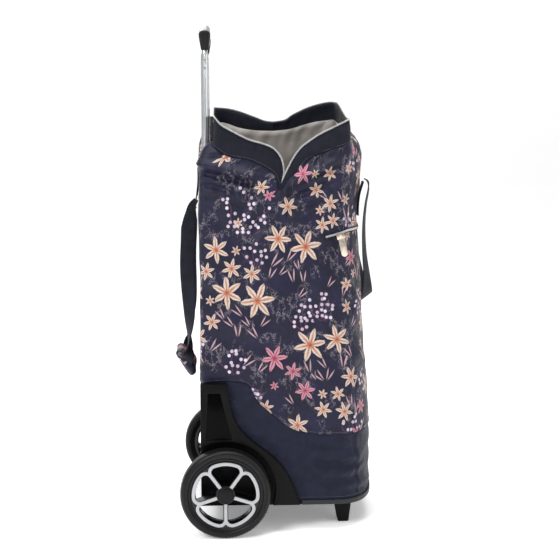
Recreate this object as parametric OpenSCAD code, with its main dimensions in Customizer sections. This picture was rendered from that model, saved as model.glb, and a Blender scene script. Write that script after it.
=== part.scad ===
// Two-wheeled shopping trolley: a tall fabric bag on a moulded base, with two spoked wheels at
// the back, two feet at the front and a telescoping twin-tube handle.
// +X is the front of the bag, +Y its left side, +Z up; the floor is Z = 0.

/* [Wheels] */
// Wheel diameter over the tyre
wheel_d = 170; // [140:1:190]
// Tyre width
tyre_w = 35; // [30:1:42]
// Tyre thickness, from the rim to the tread
tyre_t = 20.5; // [16:0.5:24]
// Gap between the side of the bag and the tyre
wheel_gap = 12.5; // [11:0.5:20]
// Number of spokes
spokes = 5; // [3:1:8]
// Width of a spoke
spoke_w = 9; // [8:0.5:16]
// Width of the bright outline on the rim
trim_w = 6; // [4:0.5:9]
// Axle diameter
axle_d = 10; // [6:0.5:12]

/* [Wheel housings] */
// Gap between the tyre and the arch over it
arch_gap = 10; // [6:0.5:14]
// Height of the housing's top above the floor
housing_top = 289; // [260:1:320]
// Thickness of the housing's outer face over the bag
housing_t = 16; // [12:0.5:20]

/* [Bag] */
// Width of the bag
bag_w = 300; // [250:1:360]
// Depth of the bag, from its back to the middle of its front
bag_depth = 334; // [270:1:400]
// How far the front bulges out past the front corners
front_bulge = 78; // [50:1:100]
// Distance from the axle back to the back of the bag
axle_setback = 46; // [44:1:60]
// Height of the bag's bottom edge above the floor
base_z = 56; // [50:1:64]
// Height at which the sides start to round over to the mouth
shoulder_z = 700; // [600:1:760]
// How far the front leans back between the base and the shoulder
front_lean = 30; // [0:1:36]
// Thickness of the fabric with its padding
wall = 3; // [2:0.5:5]
// Depth of the mouth, front to back
mouth_depth = 253; // [200:1:270]
// Height of the band round the mouth
band_h = 50; // [30:1:60]
// How far the zip's lower end drops below the shoulder on the right side
zip_drop = 52; // [40:1:70]

/* [Handle] */
// Distance between the two tubes
tube_pitch = 190; // [160:1:220]
// Outer diameter of a sliding tube
tube_d = 14.6; // [12:0.1:18]
// Distance from the back of the bag to the tubes' centres
tube_inset = 13; // [12.5:0.5:16]
// Height of the sliding tubes' upper ends
tube_top = 897; // [880:1:1000]
// How far the handle slides down
handle_travel = 130; // [90:1:130]
// Rise of the grip's arch
grip_rise = 18; // [10:1:26]
// Thickness of the grip
grip_d = 22; // [18:1:26]

/* [Carry handles] */
// Width of the webbing
strap_w = 28; // [20:1:36]
// Thickness of the webbing
strap_t = 3; // [2:0.5:4]
// Distance between the two legs of a carry handle
strap_pitch = 150; // [120:1:180]
// Drop of the front carry handle below its fold
front_drop = 240; // [180:1:280]
// Drop of the rear carry handle below its fold
rear_drop = 356; // [260:1:380]

/* [Hidden] */
$fn = 96;
SIDES = [-1, 1]; // right, left

axle_z = wheel_d / 2;
wheel_y = bag_w / 2 + wheel_gap + tyre_w / 2;
rim_r = wheel_d / 2 - tyre_t;
rim_w = tyre_w - 5;
hub_r = 16.5;
run_gap = 0.05; // running clearance of a hub on the axle
hub_in = bag_w / 2 + 10.3; // inner end of a hub

back_x = -axle_setback;
front_x = back_x + bag_depth;
bulge_power = 2.4;
lean_z = base_z + 130; // the front starts to lean back here
waist_z = shoulder_z - 100; // where the front leans back most
mouth_back = back_x + 27;
mouth_front = mouth_back + mouth_depth;
mouth_z = shoulder_z + 42;
rim_z = mouth_z + band_h;
band_t = 4;
vee_x = mouth_back + 0.49 * mouth_depth;
vee_z = shoulder_z - zip_drop;
zip_w = 3;
tray_t = 6;
tunnel_w = 44; // the moulded box over the axle, front to back
tunnel_h = 23; // its height above the axle

tube_x = back_x + tube_inset;
tube_y = tube_pitch / 2;
tube_r = tube_d / 2;
sleeve_r = tube_r + 0.15; // bore of a fixed tube
sleeve_or = sleeve_r + 0.85;
bracket_top = shoulder_z + 4;
sleeve_top = bracket_top - 8;
neck_h = 9;
rivet_r = 3;
rivet_drops = [10, 24]; // below the top of the tube
grip_z = tube_top + neck_h + 24; // centre of the grip's ends
grip_r = grip_d / 2;
grip_end_w = 15; // half the width of a black grip end
button_stroke = 4;

strap_y = strap_pitch / 2;
tab_gap = 0.6; // between a sewn tab and the webbing that swings over it
fold_z = shoulder_z - 34;
front_fold = [front_line(fold_z) + strap_t * 1.5 + tab_gap, fold_z];
rear_fold = [back_x - 6, shoulder_z - 82];
front_reach = 295; // furthest point in front of the axle
rear_reach = 97; // furthest point behind it

axle_x = (rear_reach - front_reach) / 2; // puts the origin under the middle of the whole trolley

pocket_zip_a = [front_x - 82, shoulder_z - 138]; // rear end of the pocket's zip, on the right side
pocket_zip_b = [front_x - 38, shoulder_z - 128]; // the zip reaches the front corner here
pocket_tilt = atan2(pocket_zip_b[1] - pocket_zip_a[1], pocket_zip_b[0] - pocket_zip_a[0]);
slider_x = front_x - 72;
slider_z = pocket_zip_a[1] + (slider_x - pocket_zip_a[0]) * tan(pocket_tilt);
pull_gap = 6.5; // from the side of the bag to a zip pull's hinge

// ---- helpers ----

// Everything is drawn round the axle and then moved to the trolley's own origin.
module at_axle() translate([axle_x, 0, 0]) children();

// Stands a flat shape drawn in X and Z upright, and gives it the thickness from y0 to y1.
module upright(y0, y1)
    translate([0, y1, 0]) rotate([90, 0, 0]) linear_extrude(y1 - y0) children();

// The same for one side of the trolley; y0 and y1 are distances from the middle.
module upright_side(side, y0, y1)
    upright(side < 0 ? -y1 : y0, side < 0 ? -y0 : y1) children();

// A cylinder along Y on one side, from y0 to y1 out from the middle, round the point [x, z].
module pin_y(side, point, r, y0, y1)
    translate([point[0], side * (y0 + y1) / 2, point[1]])
        rotate([90, 0, 0]) cylinder(r = r, h = y1 - y0, center = true);

function arc(centre, r, from, to, steps) =
    [for (i = [0:steps]) let (a = from + (to - from) * i / steps)
        centre + r * [cos(a), sin(a)]];

// ---- wheels ----

// Cross-section of the tyre: a flat tread between two round shoulders.
module tyre_section() {
    shoulder = 9;
    polygon(concat(
        [[rim_r, -rim_w / 2], [rim_r + 6, -tyre_w / 2]],
        arc([wheel_d / 2 - shoulder, -tyre_w / 2 + shoulder], shoulder, -90, 0, 10),
        arc([wheel_d / 2 - shoulder, tyre_w / 2 - shoulder], shoulder, 0, 90, 10),
        [[rim_r + 6, tyre_w / 2], [rim_r, rim_w / 2]]
    ));
}

module at_wheel(side) at_axle()
    translate([0, side * wheel_y, axle_z]) rotate([-90, 0, 0]) children();

module tyre(side) color("#1b1b1d") at_wheel(side) rotate_extrude() tyre_section();

// One window between two spokes; the first spoke points straight down.
module window_2d(edge, r_in, r_out) {
    half = 180 / spokes;
    reach = 2 * r_out;
    for (i = [0:spokes - 1]) rotate(90 + half + i * 2 * half) difference() {
        circle(r_out);
        circle(r_in);
        rotate(half) translate([-reach, -edge]) square([2 * reach, 2 * reach]);
        rotate(-half) translate([-reach, edge - 2 * reach]) square([2 * reach, 2 * reach]);
        rotate(90) translate([-reach, 0]) square([2 * reach, reach]);
    }
}

// Spoked rim with its hub; the outer side is open in the middle for the axle's clip.
module rim(side) color("#232326") at_wheel(side) {
    web = 20; // thickness of the spokes
    lip = 7; // radial thickness of the rim's edge
    pocket = 5; // depth of the clip's pocket
    difference() {
        union() {
            difference() {
                cylinder(r = rim_r, h = rim_w, center = true);
                translate([0, 0, -side * (web / 2 + 20)])
                    cylinder(r = rim_r - lip, h = 40, center = true);
                linear_extrude(rim_w, center = true)
                    window_2d(spoke_w / 2, hub_r + 1, rim_r - lip - 1);
            }
            translate([0, 0, side * (hub_in - wheel_y + rim_w / 2) / 2])
                cylinder(r = hub_r, h = wheel_y - hub_in + rim_w / 2, center = true);
        }
        cylinder(r = axle_d / 2 + run_gap, h = 100, center = true);
        translate([0, 0, side * (rim_w / 2 - pocket + 10)])
            cylinder(r = axle_d / 2 + 7, h = 20, center = true);
    }
}

// A petal between two spokes, grown or shrunk by edge, with round corners.
module petal_2d(edge, r_out, corner) {
    half = 180 / spokes;
    tip = edge / sin(half);
    offset(r = corner) offset(delta = -corner) intersection() {
        circle(r_out);
        polygon([[-tip, 0], [r_out * 2 * cos(half) - tip, r_out * 2 * sin(half)],
            [r_out * 2 * cos(half) - tip, -r_out * 2 * sin(half)]]);
    }
}

// Flat bright outline of the five petals on the face of the rim.
module rim_trim(side) {
    thickness = 1.5;
    half = 180 / spokes;
    color("#a9abad") at_wheel(side)
        translate([0, 0, side * (rim_w / 2 + thickness / 2)])
            linear_extrude(thickness, center = true) difference() {
                for (i = [0:spokes - 1]) rotate(90 + half + i * 2 * half) difference() {
                    petal_2d(trim_w / 2, rim_r - 1.5, 9 + trim_w);
                    petal_2d(-trim_w / 2, rim_r - 1.5 - trim_w, 9);
                }
                circle(hub_r + 0.5);
            }
}

// Round cap over the middle of the hub.
module hub_cap(side) color("#19191b") at_wheel(side)
    translate([0, 0, side * (rim_w / 2 + 1.5)]) cylinder(r = hub_r - 1, h = 3, center = true);

module axle() color("#8b8d90") at_axle()
    translate([0, 0, axle_z]) rotate([90, 0, 0])
        cylinder(d = axle_d, h = 2 * (wheel_y + rim_w / 2 - 1.5), center = true);

module ring_y(side, r_in, r_out, y0, y1) difference() {
    pin_y(side, [0, axle_z], r_out, y0, y1);
    pin_y(side, [0, axle_z], r_in, y0 - 1, y1 + 1);
}

// Push-on clip that holds a wheel on the axle.
module axle_clip(side) color("#6e7073") at_axle()
    ring_y(side, axle_d / 2, axle_d / 2 + 4, wheel_y + rim_w / 2 - 4.6, wheel_y + rim_w / 2 - 2.6);

// Washer between the housing's boss and the hub.
module axle_washer(side) color("#c9cbcd") at_axle()
    ring_y(side, axle_d / 2 + 0.1, axle_d / 2 + 6, bag_w / 2 + 7.2, hub_in - 0.3);

// ---- wheel housings and base ----

arch_r = wheel_d / 2 + arch_gap;
bolt_points = [[-13, axle_z - 15], [13, axle_z - 15]];

// Outline of a housing: high at the back, sweeping down over the wheel to the front.
module housing_outline() {
    top = housing_top;
    sweep = wheel_d / 170;
    polygon([
        [back_x, base_z - 2], [back_x, top], [4, top], [7, top - 29], [15, top - 64],
        [28, top - 87], [46, top - 107], [69 * sweep, top - 124], [93 * sweep, top - 144],
        [112 * sweep, axle_z + 38], [127 * sweep, axle_z + 8], [141 * sweep, base_z - 2]
    ]);
}

// Recess for the inlay in the housing's upper part.
module inlay_outline(inset) {
    low = axle_z + arch_r + 2 + inset;
    polygon([
        [back_x + 14 + inset, housing_top - 17 - inset], [-9 - inset, housing_top - 17 - inset],
        [0 - inset, housing_top - 58], [13 - inset, low], [back_x + 10 + inset, low]
    ]);
}

// Moulded cover beside the bag, with an arch over the wheel and a boss for the axle.
module housing(side) color("#1d1e20") at_axle() {
    y0 = bag_w / 2;
    difference() {
        union() {
            upright_side(side, y0, y0 + housing_t) difference() {
                housing_outline();
                translate([0, axle_z]) circle(arch_r);
            }
            upright_side(side, y0, y0 + 4) housing_outline();
            pin_y(side, [0, axle_z], axle_d / 2 + 8, y0, y0 + 7);
            for (p = bolt_points) pin_y(side, p, 6, y0, y0 + 7);
        }
        upright_side(side, y0 + housing_t - 1.5, y0 + housing_t + 1) inlay_outline(0);
        pin_y(side, [0, axle_z], axle_d / 2 + 0.1, y0 - 1, y0 + 8);
        for (p = bolt_points) pin_y(side, p, 3.1, y0 - 1, y0 + 6.2);
    }
}

module housing_inlay(side) color("#111113") at_axle()
    upright_side(side, bag_w / 2 + housing_t - 1.5, bag_w / 2 + housing_t - 0.5)
        inlay_outline(0.3);

// Two bolts through the base, the bag's side and the housing.
module housing_bolts(side) color("#8b8d90") at_axle() for (p = bolt_points) {
    pin_y(side, p, 3, bag_w / 2 - wall - 6, bag_w / 2 + 6);
    pin_y(side, p, 5, bag_w / 2 - wall - 10, bag_w / 2 - wall - 6);
}

// Outline of the bag seen from above, moved in by inset.
module bag_plan(inset) {
    half = bag_w / 2 - inset;
    steps = 32;
    polygon(concat(
        [[back_x + inset, half], [back_x + inset, -half]],
        [for (i = [0:steps]) let (y = -half * cos(180 * i / steps))
            [front_x - front_bulge - inset
                + front_bulge * pow(max(0, 1 - pow(abs(y) / half, bulge_power)), 1 / bulge_power),
             y]]
    ));
}

// Moulded base plate with a box over the axle and a socket for each fixed tube.
module base_tray() color("#202124") at_axle() {
    end_t = 6;
    half = bag_w / 2 - wall;
    tunnel_top = axle_z + tunnel_h;
    difference() {
        union() {
            translate([0, 0, base_z - tray_t]) linear_extrude(tray_t) bag_plan(0);
            translate([-tunnel_w / 2, -half, base_z - 0.01])
                cube([tunnel_w, 2 * half, tunnel_top - base_z + 0.01]);
            for (side = SIDES) translate([tube_x, side * tube_y, base_z - 0.01])
                cylinder(r = sleeve_or + 1.6, h = 36);
        }
        translate([-tunnel_w / 2 + 5, -half + end_t, base_z - tray_t - 1])
            cube([tunnel_w - 10, 2 * (half - end_t), tunnel_top - 5 - base_z + tray_t + 1]);
        for (side = SIDES) {
            pin_y(side, [0, axle_z], axle_d / 2 + 0.1, half - end_t - 1, half + 1);
            for (p = bolt_points) pin_y(side, p, 3.1, half - end_t - 1, half + 1);
            for (p = bolt_points) pin_y(side, p, 5.3, half - end_t - 5, half - end_t);
            translate([tube_x, side * tube_y, base_z + 4]) cylinder(r = sleeve_or + 0.1, h = 40);
        }
    }
}

// Tapered foot under the front of the base.
module foot(side) color("#19191b") at_axle()
    upright_side(side, tube_y - 15, tube_y + 15)
        polygon([[219, 0], [240, 0], [246, base_z - tray_t], [210, base_z - tray_t]]);

// Stiff board on the bottom of the bag, in front of the box over the axle.
module floor_board() color("#3a3b40") at_axle()
    translate([0, 0, base_z]) linear_extrude(3) intersection() {
        bag_plan(wall + 1);
        translate([tunnel_w / 2 + 2, -bag_w]) square([bag_depth, 2 * bag_w]);
    }

// Stiff board in front of the tubes, behind the bag's lining.
module back_board() color("#3a3b40") at_axle()
    translate([tube_x + 12, -(bag_w / 2 - wall - 7), axle_z + tunnel_h])
        cube([3, 2 * (bag_w / 2 - wall - 7), sleeve_top - axle_z - tunnel_h - 6]);

// ---- telescoping handle ----

module at_tube(side) at_axle() translate([tube_x, side * tube_y, 0]) children();

module fixed_tube(side) color("#9fa2a6") at_tube(side)
    translate([0, 0, base_z + 4]) difference() {
        cylinder(r = sleeve_or, h = sleeve_top - base_z - 4);
        translate([0, 0, -1]) cylinder(r = sleeve_r, h = sleeve_top);
    }

// Crosspiece that ties the fixed tubes together and guides the sliding ones.
module tube_bracket() color("#1d1e20") at_axle() difference() {
    translate([tube_x - 8.8, -tube_y - 17, bracket_top - 54])
        cube([19.2, tube_pitch + 34, 54]);
    for (side = SIDES) translate([tube_x, side * tube_y, 0]) {
        translate([0, 0, bracket_top - 55]) cylinder(r = sleeve_or + 0.05, h = 47);
        translate([0, 0, bracket_top - 9]) cylinder(r = tube_r + 0.06, h = 10);
    }
}

// Sliding tube with fine flutes along it.
module sliding_tube(side) color("#c4c7ca") at_tube(side) {
    flutes = 10;
    length = tube_top - (bracket_top - handle_travel - 14);
    translate([0, 0, tube_top - length]) difference() {
        cylinder(r = tube_r, h = length);
        for (i = [0:flutes - 1]) rotate(i * 360 / flutes + 18) translate([tube_r + 0.5, 0, -1])
            cylinder(r = 1, h = length + 2, $fn = 24);
        for (down = rivet_drops) translate([0, side * (tube_r + 1), length - down])
            rotate([90, 0, 0]) cylinder(r = rivet_r, h = 3, center = true);
    }
}

// Two rivets at the top of a sliding tube, on its outer side.
module tube_rivets(side) color("#b5b8bb") at_axle()
    for (down = rivet_drops)
        pin_y(side, [tube_x, tube_top - down], rivet_r, tube_y + tube_r - 0.5,
            tube_y + tube_r + 1.2);

module handle_neck(side) color("#a6a9ac") at_tube(side) translate([0, 0, tube_top]) {
    cylinder(r = tube_r + 0.4, h = 2);
    translate([0, 0, 1.9]) cylinder(r = tube_r - 1.5, h = neck_h - 1.9);
}

// Black end of the grip, narrowing down to the neck.
module grip_end(side) color("#161618") at_axle() hull() {
    translate([tube_x, side * tube_y, tube_top + neck_h]) cylinder(r = tube_r - 0.6, h = 1, $fn = 32);
    translate([tube_x, side * tube_y, grip_z]) rotate([90, 0, 0])
        cylinder(r = grip_r, h = 2 * grip_end_w, center = true, $fn = 48);
}

grip_half = tube_y - grip_end_w; // half the length of the grip's middle part
grip_curve = (pow(grip_half, 2) + pow(grip_rise, 2)) / (2 * grip_rise); // its arch radius

// Arched middle part of the grip, hollow where the button slides.
module grip_centre() color("#8f9296") at_axle() difference() {
    intersection() {
        translate([tube_x, 0, grip_z + grip_rise - grip_curve]) rotate([90, 0, 90])
            rotate_extrude($fn = 240) translate([grip_curve, 0]) circle(grip_r - 1, $fn = 48);
        translate([tube_x - 30, -grip_half, grip_z - 30]) cube([60, 2 * grip_half, 90]);
    }
    translate([tube_x - 5, -16, grip_z + grip_rise - grip_r - 2]) cube([10, 32, 13]);
}

// Button under the grip that frees the tubes when it is squeezed upwards.
module release_button() color("#2a2b2e") at_axle()
    translate([tube_x - 4.6, -15.6, grip_z + grip_rise - grip_r - button_stroke + 2])
        cube([9.2, 31.2, 8]);

// ---- bag ----

// The front leans back up to its waist, then comes forward again to the shoulder.
function front_line(z) = front_x - front_lean
    * (z < waist_z ? max(0, z - lean_z) / (waist_z - lean_z)
        : 1 - (z - waist_z) / (shoulder_z - waist_z) / 3);

// Side view of the bag, moved in by inset: upright back, leaning front, round shoulders.
module bag_profile(inset) {
    steps = 12;
    front_top = front_line(shoulder_z);
    shoulder = shoulder_z - inset;
    polygon(concat(
        [[back_x + inset, base_z - (inset > 0 ? 1 : 0)],
         [front_x - inset, base_z - (inset > 0 ? 1 : 0)]],
        [for (z = [lean_z, waist_z, shoulder]) [front_line(z) - inset, z]],
        [for (i = [1:steps]) let (a = 90 * i / steps)
            [mouth_front - inset + (front_top - mouth_front) * cos(a), shoulder + 42 * sin(a)]],
        [[mouth_front - inset, mouth_z + inset], [mouth_back + inset, mouth_z + inset]],
        [for (i = [0:steps]) let (a = 90 - 90 * i / steps)
            [mouth_back + inset + (back_x - mouth_back) * cos(a), shoulder + 42 * sin(a)]]
    ));
}

module bag_solid(inset) intersection() {
    upright(-bag_w, bag_w) bag_profile(inset);
    translate([0, 0, base_z - 1]) linear_extrude(mouth_z) bag_plan(inset);
}

module bag_shell() difference() {
    bag_solid(0);
    bag_solid(wall);
}

// The seam between the side and the front leans back towards the top.
seam_low = [front_x - 30, base_z];
seam_high = [front_x - 94, mouth_z + 10];

module front_region() polygon([seam_low, [front_x + 20, base_z - 10],
    [front_x + 20, mouth_z + 20], seam_high]);

module back_region() {
    translate([back_x - 20, 0]) square([20 + wall, mouth_z + 20]);
    translate([back_x - 20, shoulder_z - wall])
        square([mouth_back + wall - back_x + 20, mouth_z]);
}

// The plain base panel: high beside the housing, low along the side and the front.
module base_region() polygon([
    [back_x - 20, 0], [back_x - 20, housing_top - 1], [38, housing_top - 1],
    [66, housing_top - 39], [119, housing_top - 89], [162, housing_top - 100],
    [229, housing_top - 102], [front_x + 20, housing_top - 102], [front_x + 20, 0]
]);

function vee(dx, dz) = [vee_x + dx, vee_z + dz];

// The fabric's top edge on the right side, which drops in a vee to the end of the zip.
body_edge_rear = [
    [mouth_back - 30, mouth_z], [mouth_back, mouth_z], [mouth_back + 22, shoulder_z + 16],
    [mouth_back + 62, shoulder_z + 5], [vee_x - 29, shoulder_z - 8], [vee_x - 11, shoulder_z - 23],
    vee(-3, 0)
];
body_edge_front = [
    vee(3, 0), [vee_x + 30, shoulder_z - 18], [vee_x + 63, shoulder_z + 12],
    [mouth_front - 29, shoulder_z + 26], [mouth_front, mouth_z]
];
// The band's top edge on the right side.
rim_edge_rear = [
    vee(-3, 0), vee(2, 42), vee(-9, 70), vee(-35, 85), [mouth_back + 41, rim_z - 40],
    [mouth_back, rim_z], [mouth_back - 10, rim_z]
];
rim_edge_front = [
    [mouth_front + 10, rim_z], [mouth_front, rim_z], [mouth_front - 26, rim_z - 29],
    vee(60, 89), vee(35, 60), vee(15, 23), vee(3, 0)
];

module above_body() polygon(concat(body_edge_rear, body_edge_front,
    [[front_x + 20, mouth_z], [front_x + 20, rim_z], [mouth_back - 30, rim_z]]));

// Cuts the shell down to one side panel, without its mouth and base.
module side_panel(side, low) intersection() {
    difference() {
        bag_shell();
        if (low) for (p = concat([[0, axle_z]], bolt_points))
            pin_y(side, p, axle_d / 2 + 1, bag_w / 2 - 20, bag_w / 2 + 20);
        if (side < 0) upright(-bag_w, 0) above_body();
    }
    upright_side(side, 0, bag_w) difference() {
        translate([back_x, base_z]) square([bag_depth, mouth_z]);
        back_region();
        front_region();
        if (!low) base_region();
        if (low) translate([back_x - 30, -20]) difference() {
            square([2 * bag_depth, 2 * mouth_z]);
            translate([30 - back_x, 20]) base_region();
        }
    }
}

module bag_side(side) color("#33304a") at_axle() side_panel(side, false);

module base_side(side) color("#242842") at_axle() side_panel(side, true);

module bag_front() color("#353250") at_axle() intersection() {
    difference() {
        bag_shell();
        upright(-bag_w, 0) above_body();
    }
    upright(-bag_w, bag_w) difference() {
        front_region();
        base_region();
    }
}

module base_front() color("#272b47") at_axle() intersection() {
    bag_shell();
    upright(-bag_w, bag_w) intersection() {
        front_region();
        base_region();
    }
}

// Back panel with the rounded shoulder that the tubes come out of.
module bag_back() color("#2c2a42") at_axle() difference() {
    intersection() {
        bag_shell();
        upright(-bag_w, bag_w) back_region();
    }
    for (side = SIDES) translate([tube_x, side * tube_y, shoulder_z - 10])
        cylinder(r = tube_r + 2, h = 80);
    upright(-bag_w, 0) above_body();
}

// Black binding round the bag's bottom edge, in front of the housings.
module hem_trim() color("#151518") at_axle() {
    start = 146 * wheel_d / 170;
    translate([0, 0, base_z - tray_t]) linear_extrude(tray_t + 2) intersection() {
        difference() {
            bag_plan(-2.5);
            bag_plan(0);
        }
        translate([start, -bag_w]) square([bag_depth, 2 * bag_w]);
    }
}

module mouth_plan(inset) {
    r = 20 - inset;
    x0 = mouth_back + inset;
    x1 = mouth_front - inset;
    y = bag_w / 2 - inset;
    polygon(concat(
        arc([x1 - r, y - r], r, 0, 90, 6), arc([x0 + r, y - r], r, 90, 180, 6),
        arc([x0 + r, r - y], r, 180, 270, 6), arc([x1 - r, r - y], r, 270, 360, 6)
    ));
}

module mouth_shell() translate([0, 0, vee_z]) linear_extrude(rim_z + 20 - vee_z) difference() {
    mouth_plan(0);
    mouth_plan(band_t);
}

// The mouth's two halves part at the middle of the left side, where the edge sags a little.
sag = 20;
rim_edge_left_rear = [[vee_x, rim_z - sag], [mouth_back + 55, rim_z - 6], [mouth_back - 10, rim_z]];
rim_edge_left_front = [[mouth_front + 10, rim_z], [mouth_front - 60, rim_z - 6], [vee_x, rim_z - sag]];

module mouth_band_rear() color("#1c2038") at_axle() intersection() {
    mouth_shell();
    union() {
        upright(-bag_w, 0) polygon(concat(body_edge_rear, rim_edge_rear));
        upright(0, bag_w) polygon(concat([[mouth_back - 10, mouth_z], [vee_x, mouth_z]],
            rim_edge_left_rear));
    }
}

module mouth_band_front() color("#1c2038") at_axle() intersection() {
    mouth_shell();
    union() {
        upright(-bag_w, 0) polygon(concat(body_edge_front, [[mouth_front + 10, mouth_z]],
            rim_edge_front));
        upright(0, bag_w) polygon(concat([[vee_x, mouth_z], [mouth_front + 10, mouth_z]],
            rim_edge_left_front));
    }
}

// A strip along an edge, shift away from it.
module edge_strip(edge, shift)
    polygon(concat(edge, [for (i = [len(edge) - 1:-1:0]) edge[i] + shift]));

// Coil of the long zip along the rear half of the mouth.
module mouth_zip_rear() color("#c9c9cc") at_axle() intersection() {
    mouth_shell();
    union() {
        upright(-bag_w, 0) edge_strip(rim_edge_rear, [zip_w, zip_w]);
        upright(0, bag_w) edge_strip(rim_edge_left_rear, [0, zip_w]);
    }
}

module mouth_zip_front() color("#c9c9cc") at_axle() intersection() {
    mouth_shell();
    union() {
        upright(-bag_w, 0) edge_strip(rim_edge_front, [-zip_w, zip_w]);
        upright(0, bag_w) edge_strip(rim_edge_left_front, [0, zip_w]);
    }
}

// Stiff black strip behind the mouth, between the tubes and the band.
module rear_guard() color("#131316") at_axle()
    translate([mouth_back - 5, -tube_y - 17, mouth_z])
        cube([5, tube_pitch + 34, band_h - 8]);

// ---- zips ----

// Zip slider: a small block on the tape, with two ears and a pin for its pull.
module slider_body(length, height) {
    translate([-length / 2, -4.2, -height / 2]) cube([length, 3.8, height]);
    for (x = [-4.5, 3]) translate([x, -pull_gap - 1, -1.2]) cube([1.5, pull_gap - 3, 2.4]);
    translate([0, -pull_gap, 0]) rotate([0, 90, 0]) cylinder(r = 0.9, h = 8, center = true, $fn = 24);
}

// Pull tab hanging from the slider's pin.
module pull_body(width, length) difference() {
    union() {
        translate([0, -pull_gap, 0]) rotate([0, 90, 0]) cylinder(r = 2.1, h = 5, center = true, $fn = 32);
        translate([-2.5, -pull_gap - 1, -7]) cube([5, 2, 6]);
        translate([0, -pull_gap + 1, -length + width / 2]) rotate([90, 0, 0]) cylinder(d = width, h = 2);
        translate([-width / 2, -pull_gap - 1, -length + width / 2])
            cube([width, 2, length - width / 2 - 6]);
    }
    translate([0, -pull_gap, 0]) rotate([0, 90, 0]) cylinder(r = 1, h = 6, center = true, $fn = 32);
}

module at_pocket_slider() at_axle() translate([slider_x, -bag_w / 2 - 1.6, slider_z]) children();

module at_mouth_slider() at_axle() translate([vee_x, bag_w / 2, rim_z - sag - 8])
    rotate([0, 0, 180]) children();

// Closed zip of the front pocket, from the right side round the front to the left.
module pocket_zip() color("#b9b9bd") at_axle() intersection() {
    difference() {
        bag_solid(-1.6);
        bag_solid(0);
    }
    upright(-bag_w, bag_w) polygon([
        pocket_zip_a + [-2, -6], pocket_zip_b + [0, -6], [front_x + 20, pocket_zip_b[1] - 2],
        [front_x + 20, pocket_zip_b[1] + 10], pocket_zip_b + [0, 6], pocket_zip_a + [-2, 6]
    ]);
}

module pocket_slider() color("#b8ab95") at_pocket_slider() rotate([0, -pocket_tilt, 0])
    slider_body(15, 10);

module pocket_pull() color("#c2b59e") at_pocket_slider() rotate([0, -pocket_tilt, 0])
    pull_body(12, 38);

module mouth_slider() color("#b8ab95") at_mouth_slider() slider_body(12, 14);

module mouth_pull() color("#c2b59e") at_mouth_slider() pull_body(9, 34);

// ---- carry handles ----

// Sewn tabs that hold the front carry handle.
module front_tabs() color("#191c30") at_axle() {
    top = fold_z - 3;
    low = fold_z - 70;
    seat = 0.1; // the front curves a little between the tab's ends
    for (side = SIDES)
        upright_side(side, strap_y - strap_w / 2, strap_y + strap_w / 2) polygon([
            [front_line(low) + seat, low], [front_line(low) + strap_t, low],
            [front_line(top) + strap_t, top], [front_line(top) + seat, top]
        ]);
}

// Webbing loop hanging down the front of the bag: two legs and the hand's crosspiece.
module front_handle() color("#1b1e36") at_axle() {
    bottom = fold_z - front_drop;
    knee = fold_z - 80;
    knee_x = front_line(knee) + strap_t + 1;
    bottom_x = front_line(bottom) + 7;
    slope = (bottom_x - knee_x) / (knee - bottom);
    cross_x = bottom_x - slope * strap_w;
    for (side = SIDES) {
        upright_side(side, strap_y - strap_w / 2, strap_y + strap_w / 2) polygon([
            front_fold - [strap_t / 2, 0], front_fold + [strap_t / 2, 0],
            [knee_x + strap_t, knee], [bottom_x + strap_t, bottom], [bottom_x, bottom],
            [knee_x, knee]
        ]);
        pin_y(side, front_fold, strap_t / 2, strap_y - strap_w / 2, strap_y + strap_w / 2);
    }
    upright(-strap_y + strap_w / 2, strap_y - strap_w / 2) polygon([
        [cross_x, bottom + strap_w], [cross_x + strap_t, bottom + strap_w],
        [bottom_x + strap_t, bottom], [bottom_x, bottom]
    ]);
}

// Sewn tabs from the bag's back to the fold of the rear carry handle.
module rear_tabs() color("#191c30") at_axle() for (side = SIDES)
    upright_side(side, strap_y - strap_w / 2 + 10, strap_y + strap_w / 2 + 10) polygon([
        [back_x, rear_fold[1] + 72], [back_x, rear_fold[1] + 40],
        [rear_fold[0] + 2, rear_fold[1] + 5], [rear_fold[0] - strap_t, rear_fold[1] + 5],
        [back_x - strap_t, rear_fold[1] + 45], [back_x - strap_t, rear_fold[1] + 72]
    ]);

// Long webbing loop behind the bag: its legs hang edge-on, its crosspiece is a broad sling.
module rear_handle() color("#1b1e36") at_axle() {
    x = rear_fold[0];
    z = rear_fold[1];
    bottom = z - rear_drop;
    y = strap_y + 10 - strap_t / 2;
    for (side = SIDES) upright_side(side, y, y + strap_t) polygon([
        [x - 3, z], [x - 26, z - 14], [x - 30, z - 130], [x - 16, z - 206], [x - 34, bottom + 84],
        [x - 44, bottom + 50], [x - 8, bottom + 4], [x - 4, bottom + 40], [x - 8, z - 206],
        [x - 5, z - 120], [x - 1, z - 10]
    ]);
    for (side = SIDES) pin_y(side, rear_fold, strap_t, y, y + strap_t); // the leg's rolled top
    upright(-y, y) polygon([
        [x - 44, bottom + 50], [x - 8, bottom + 4], [x - 4, bottom + 6], [x - 40, bottom + 54]
    ]);
}

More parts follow.
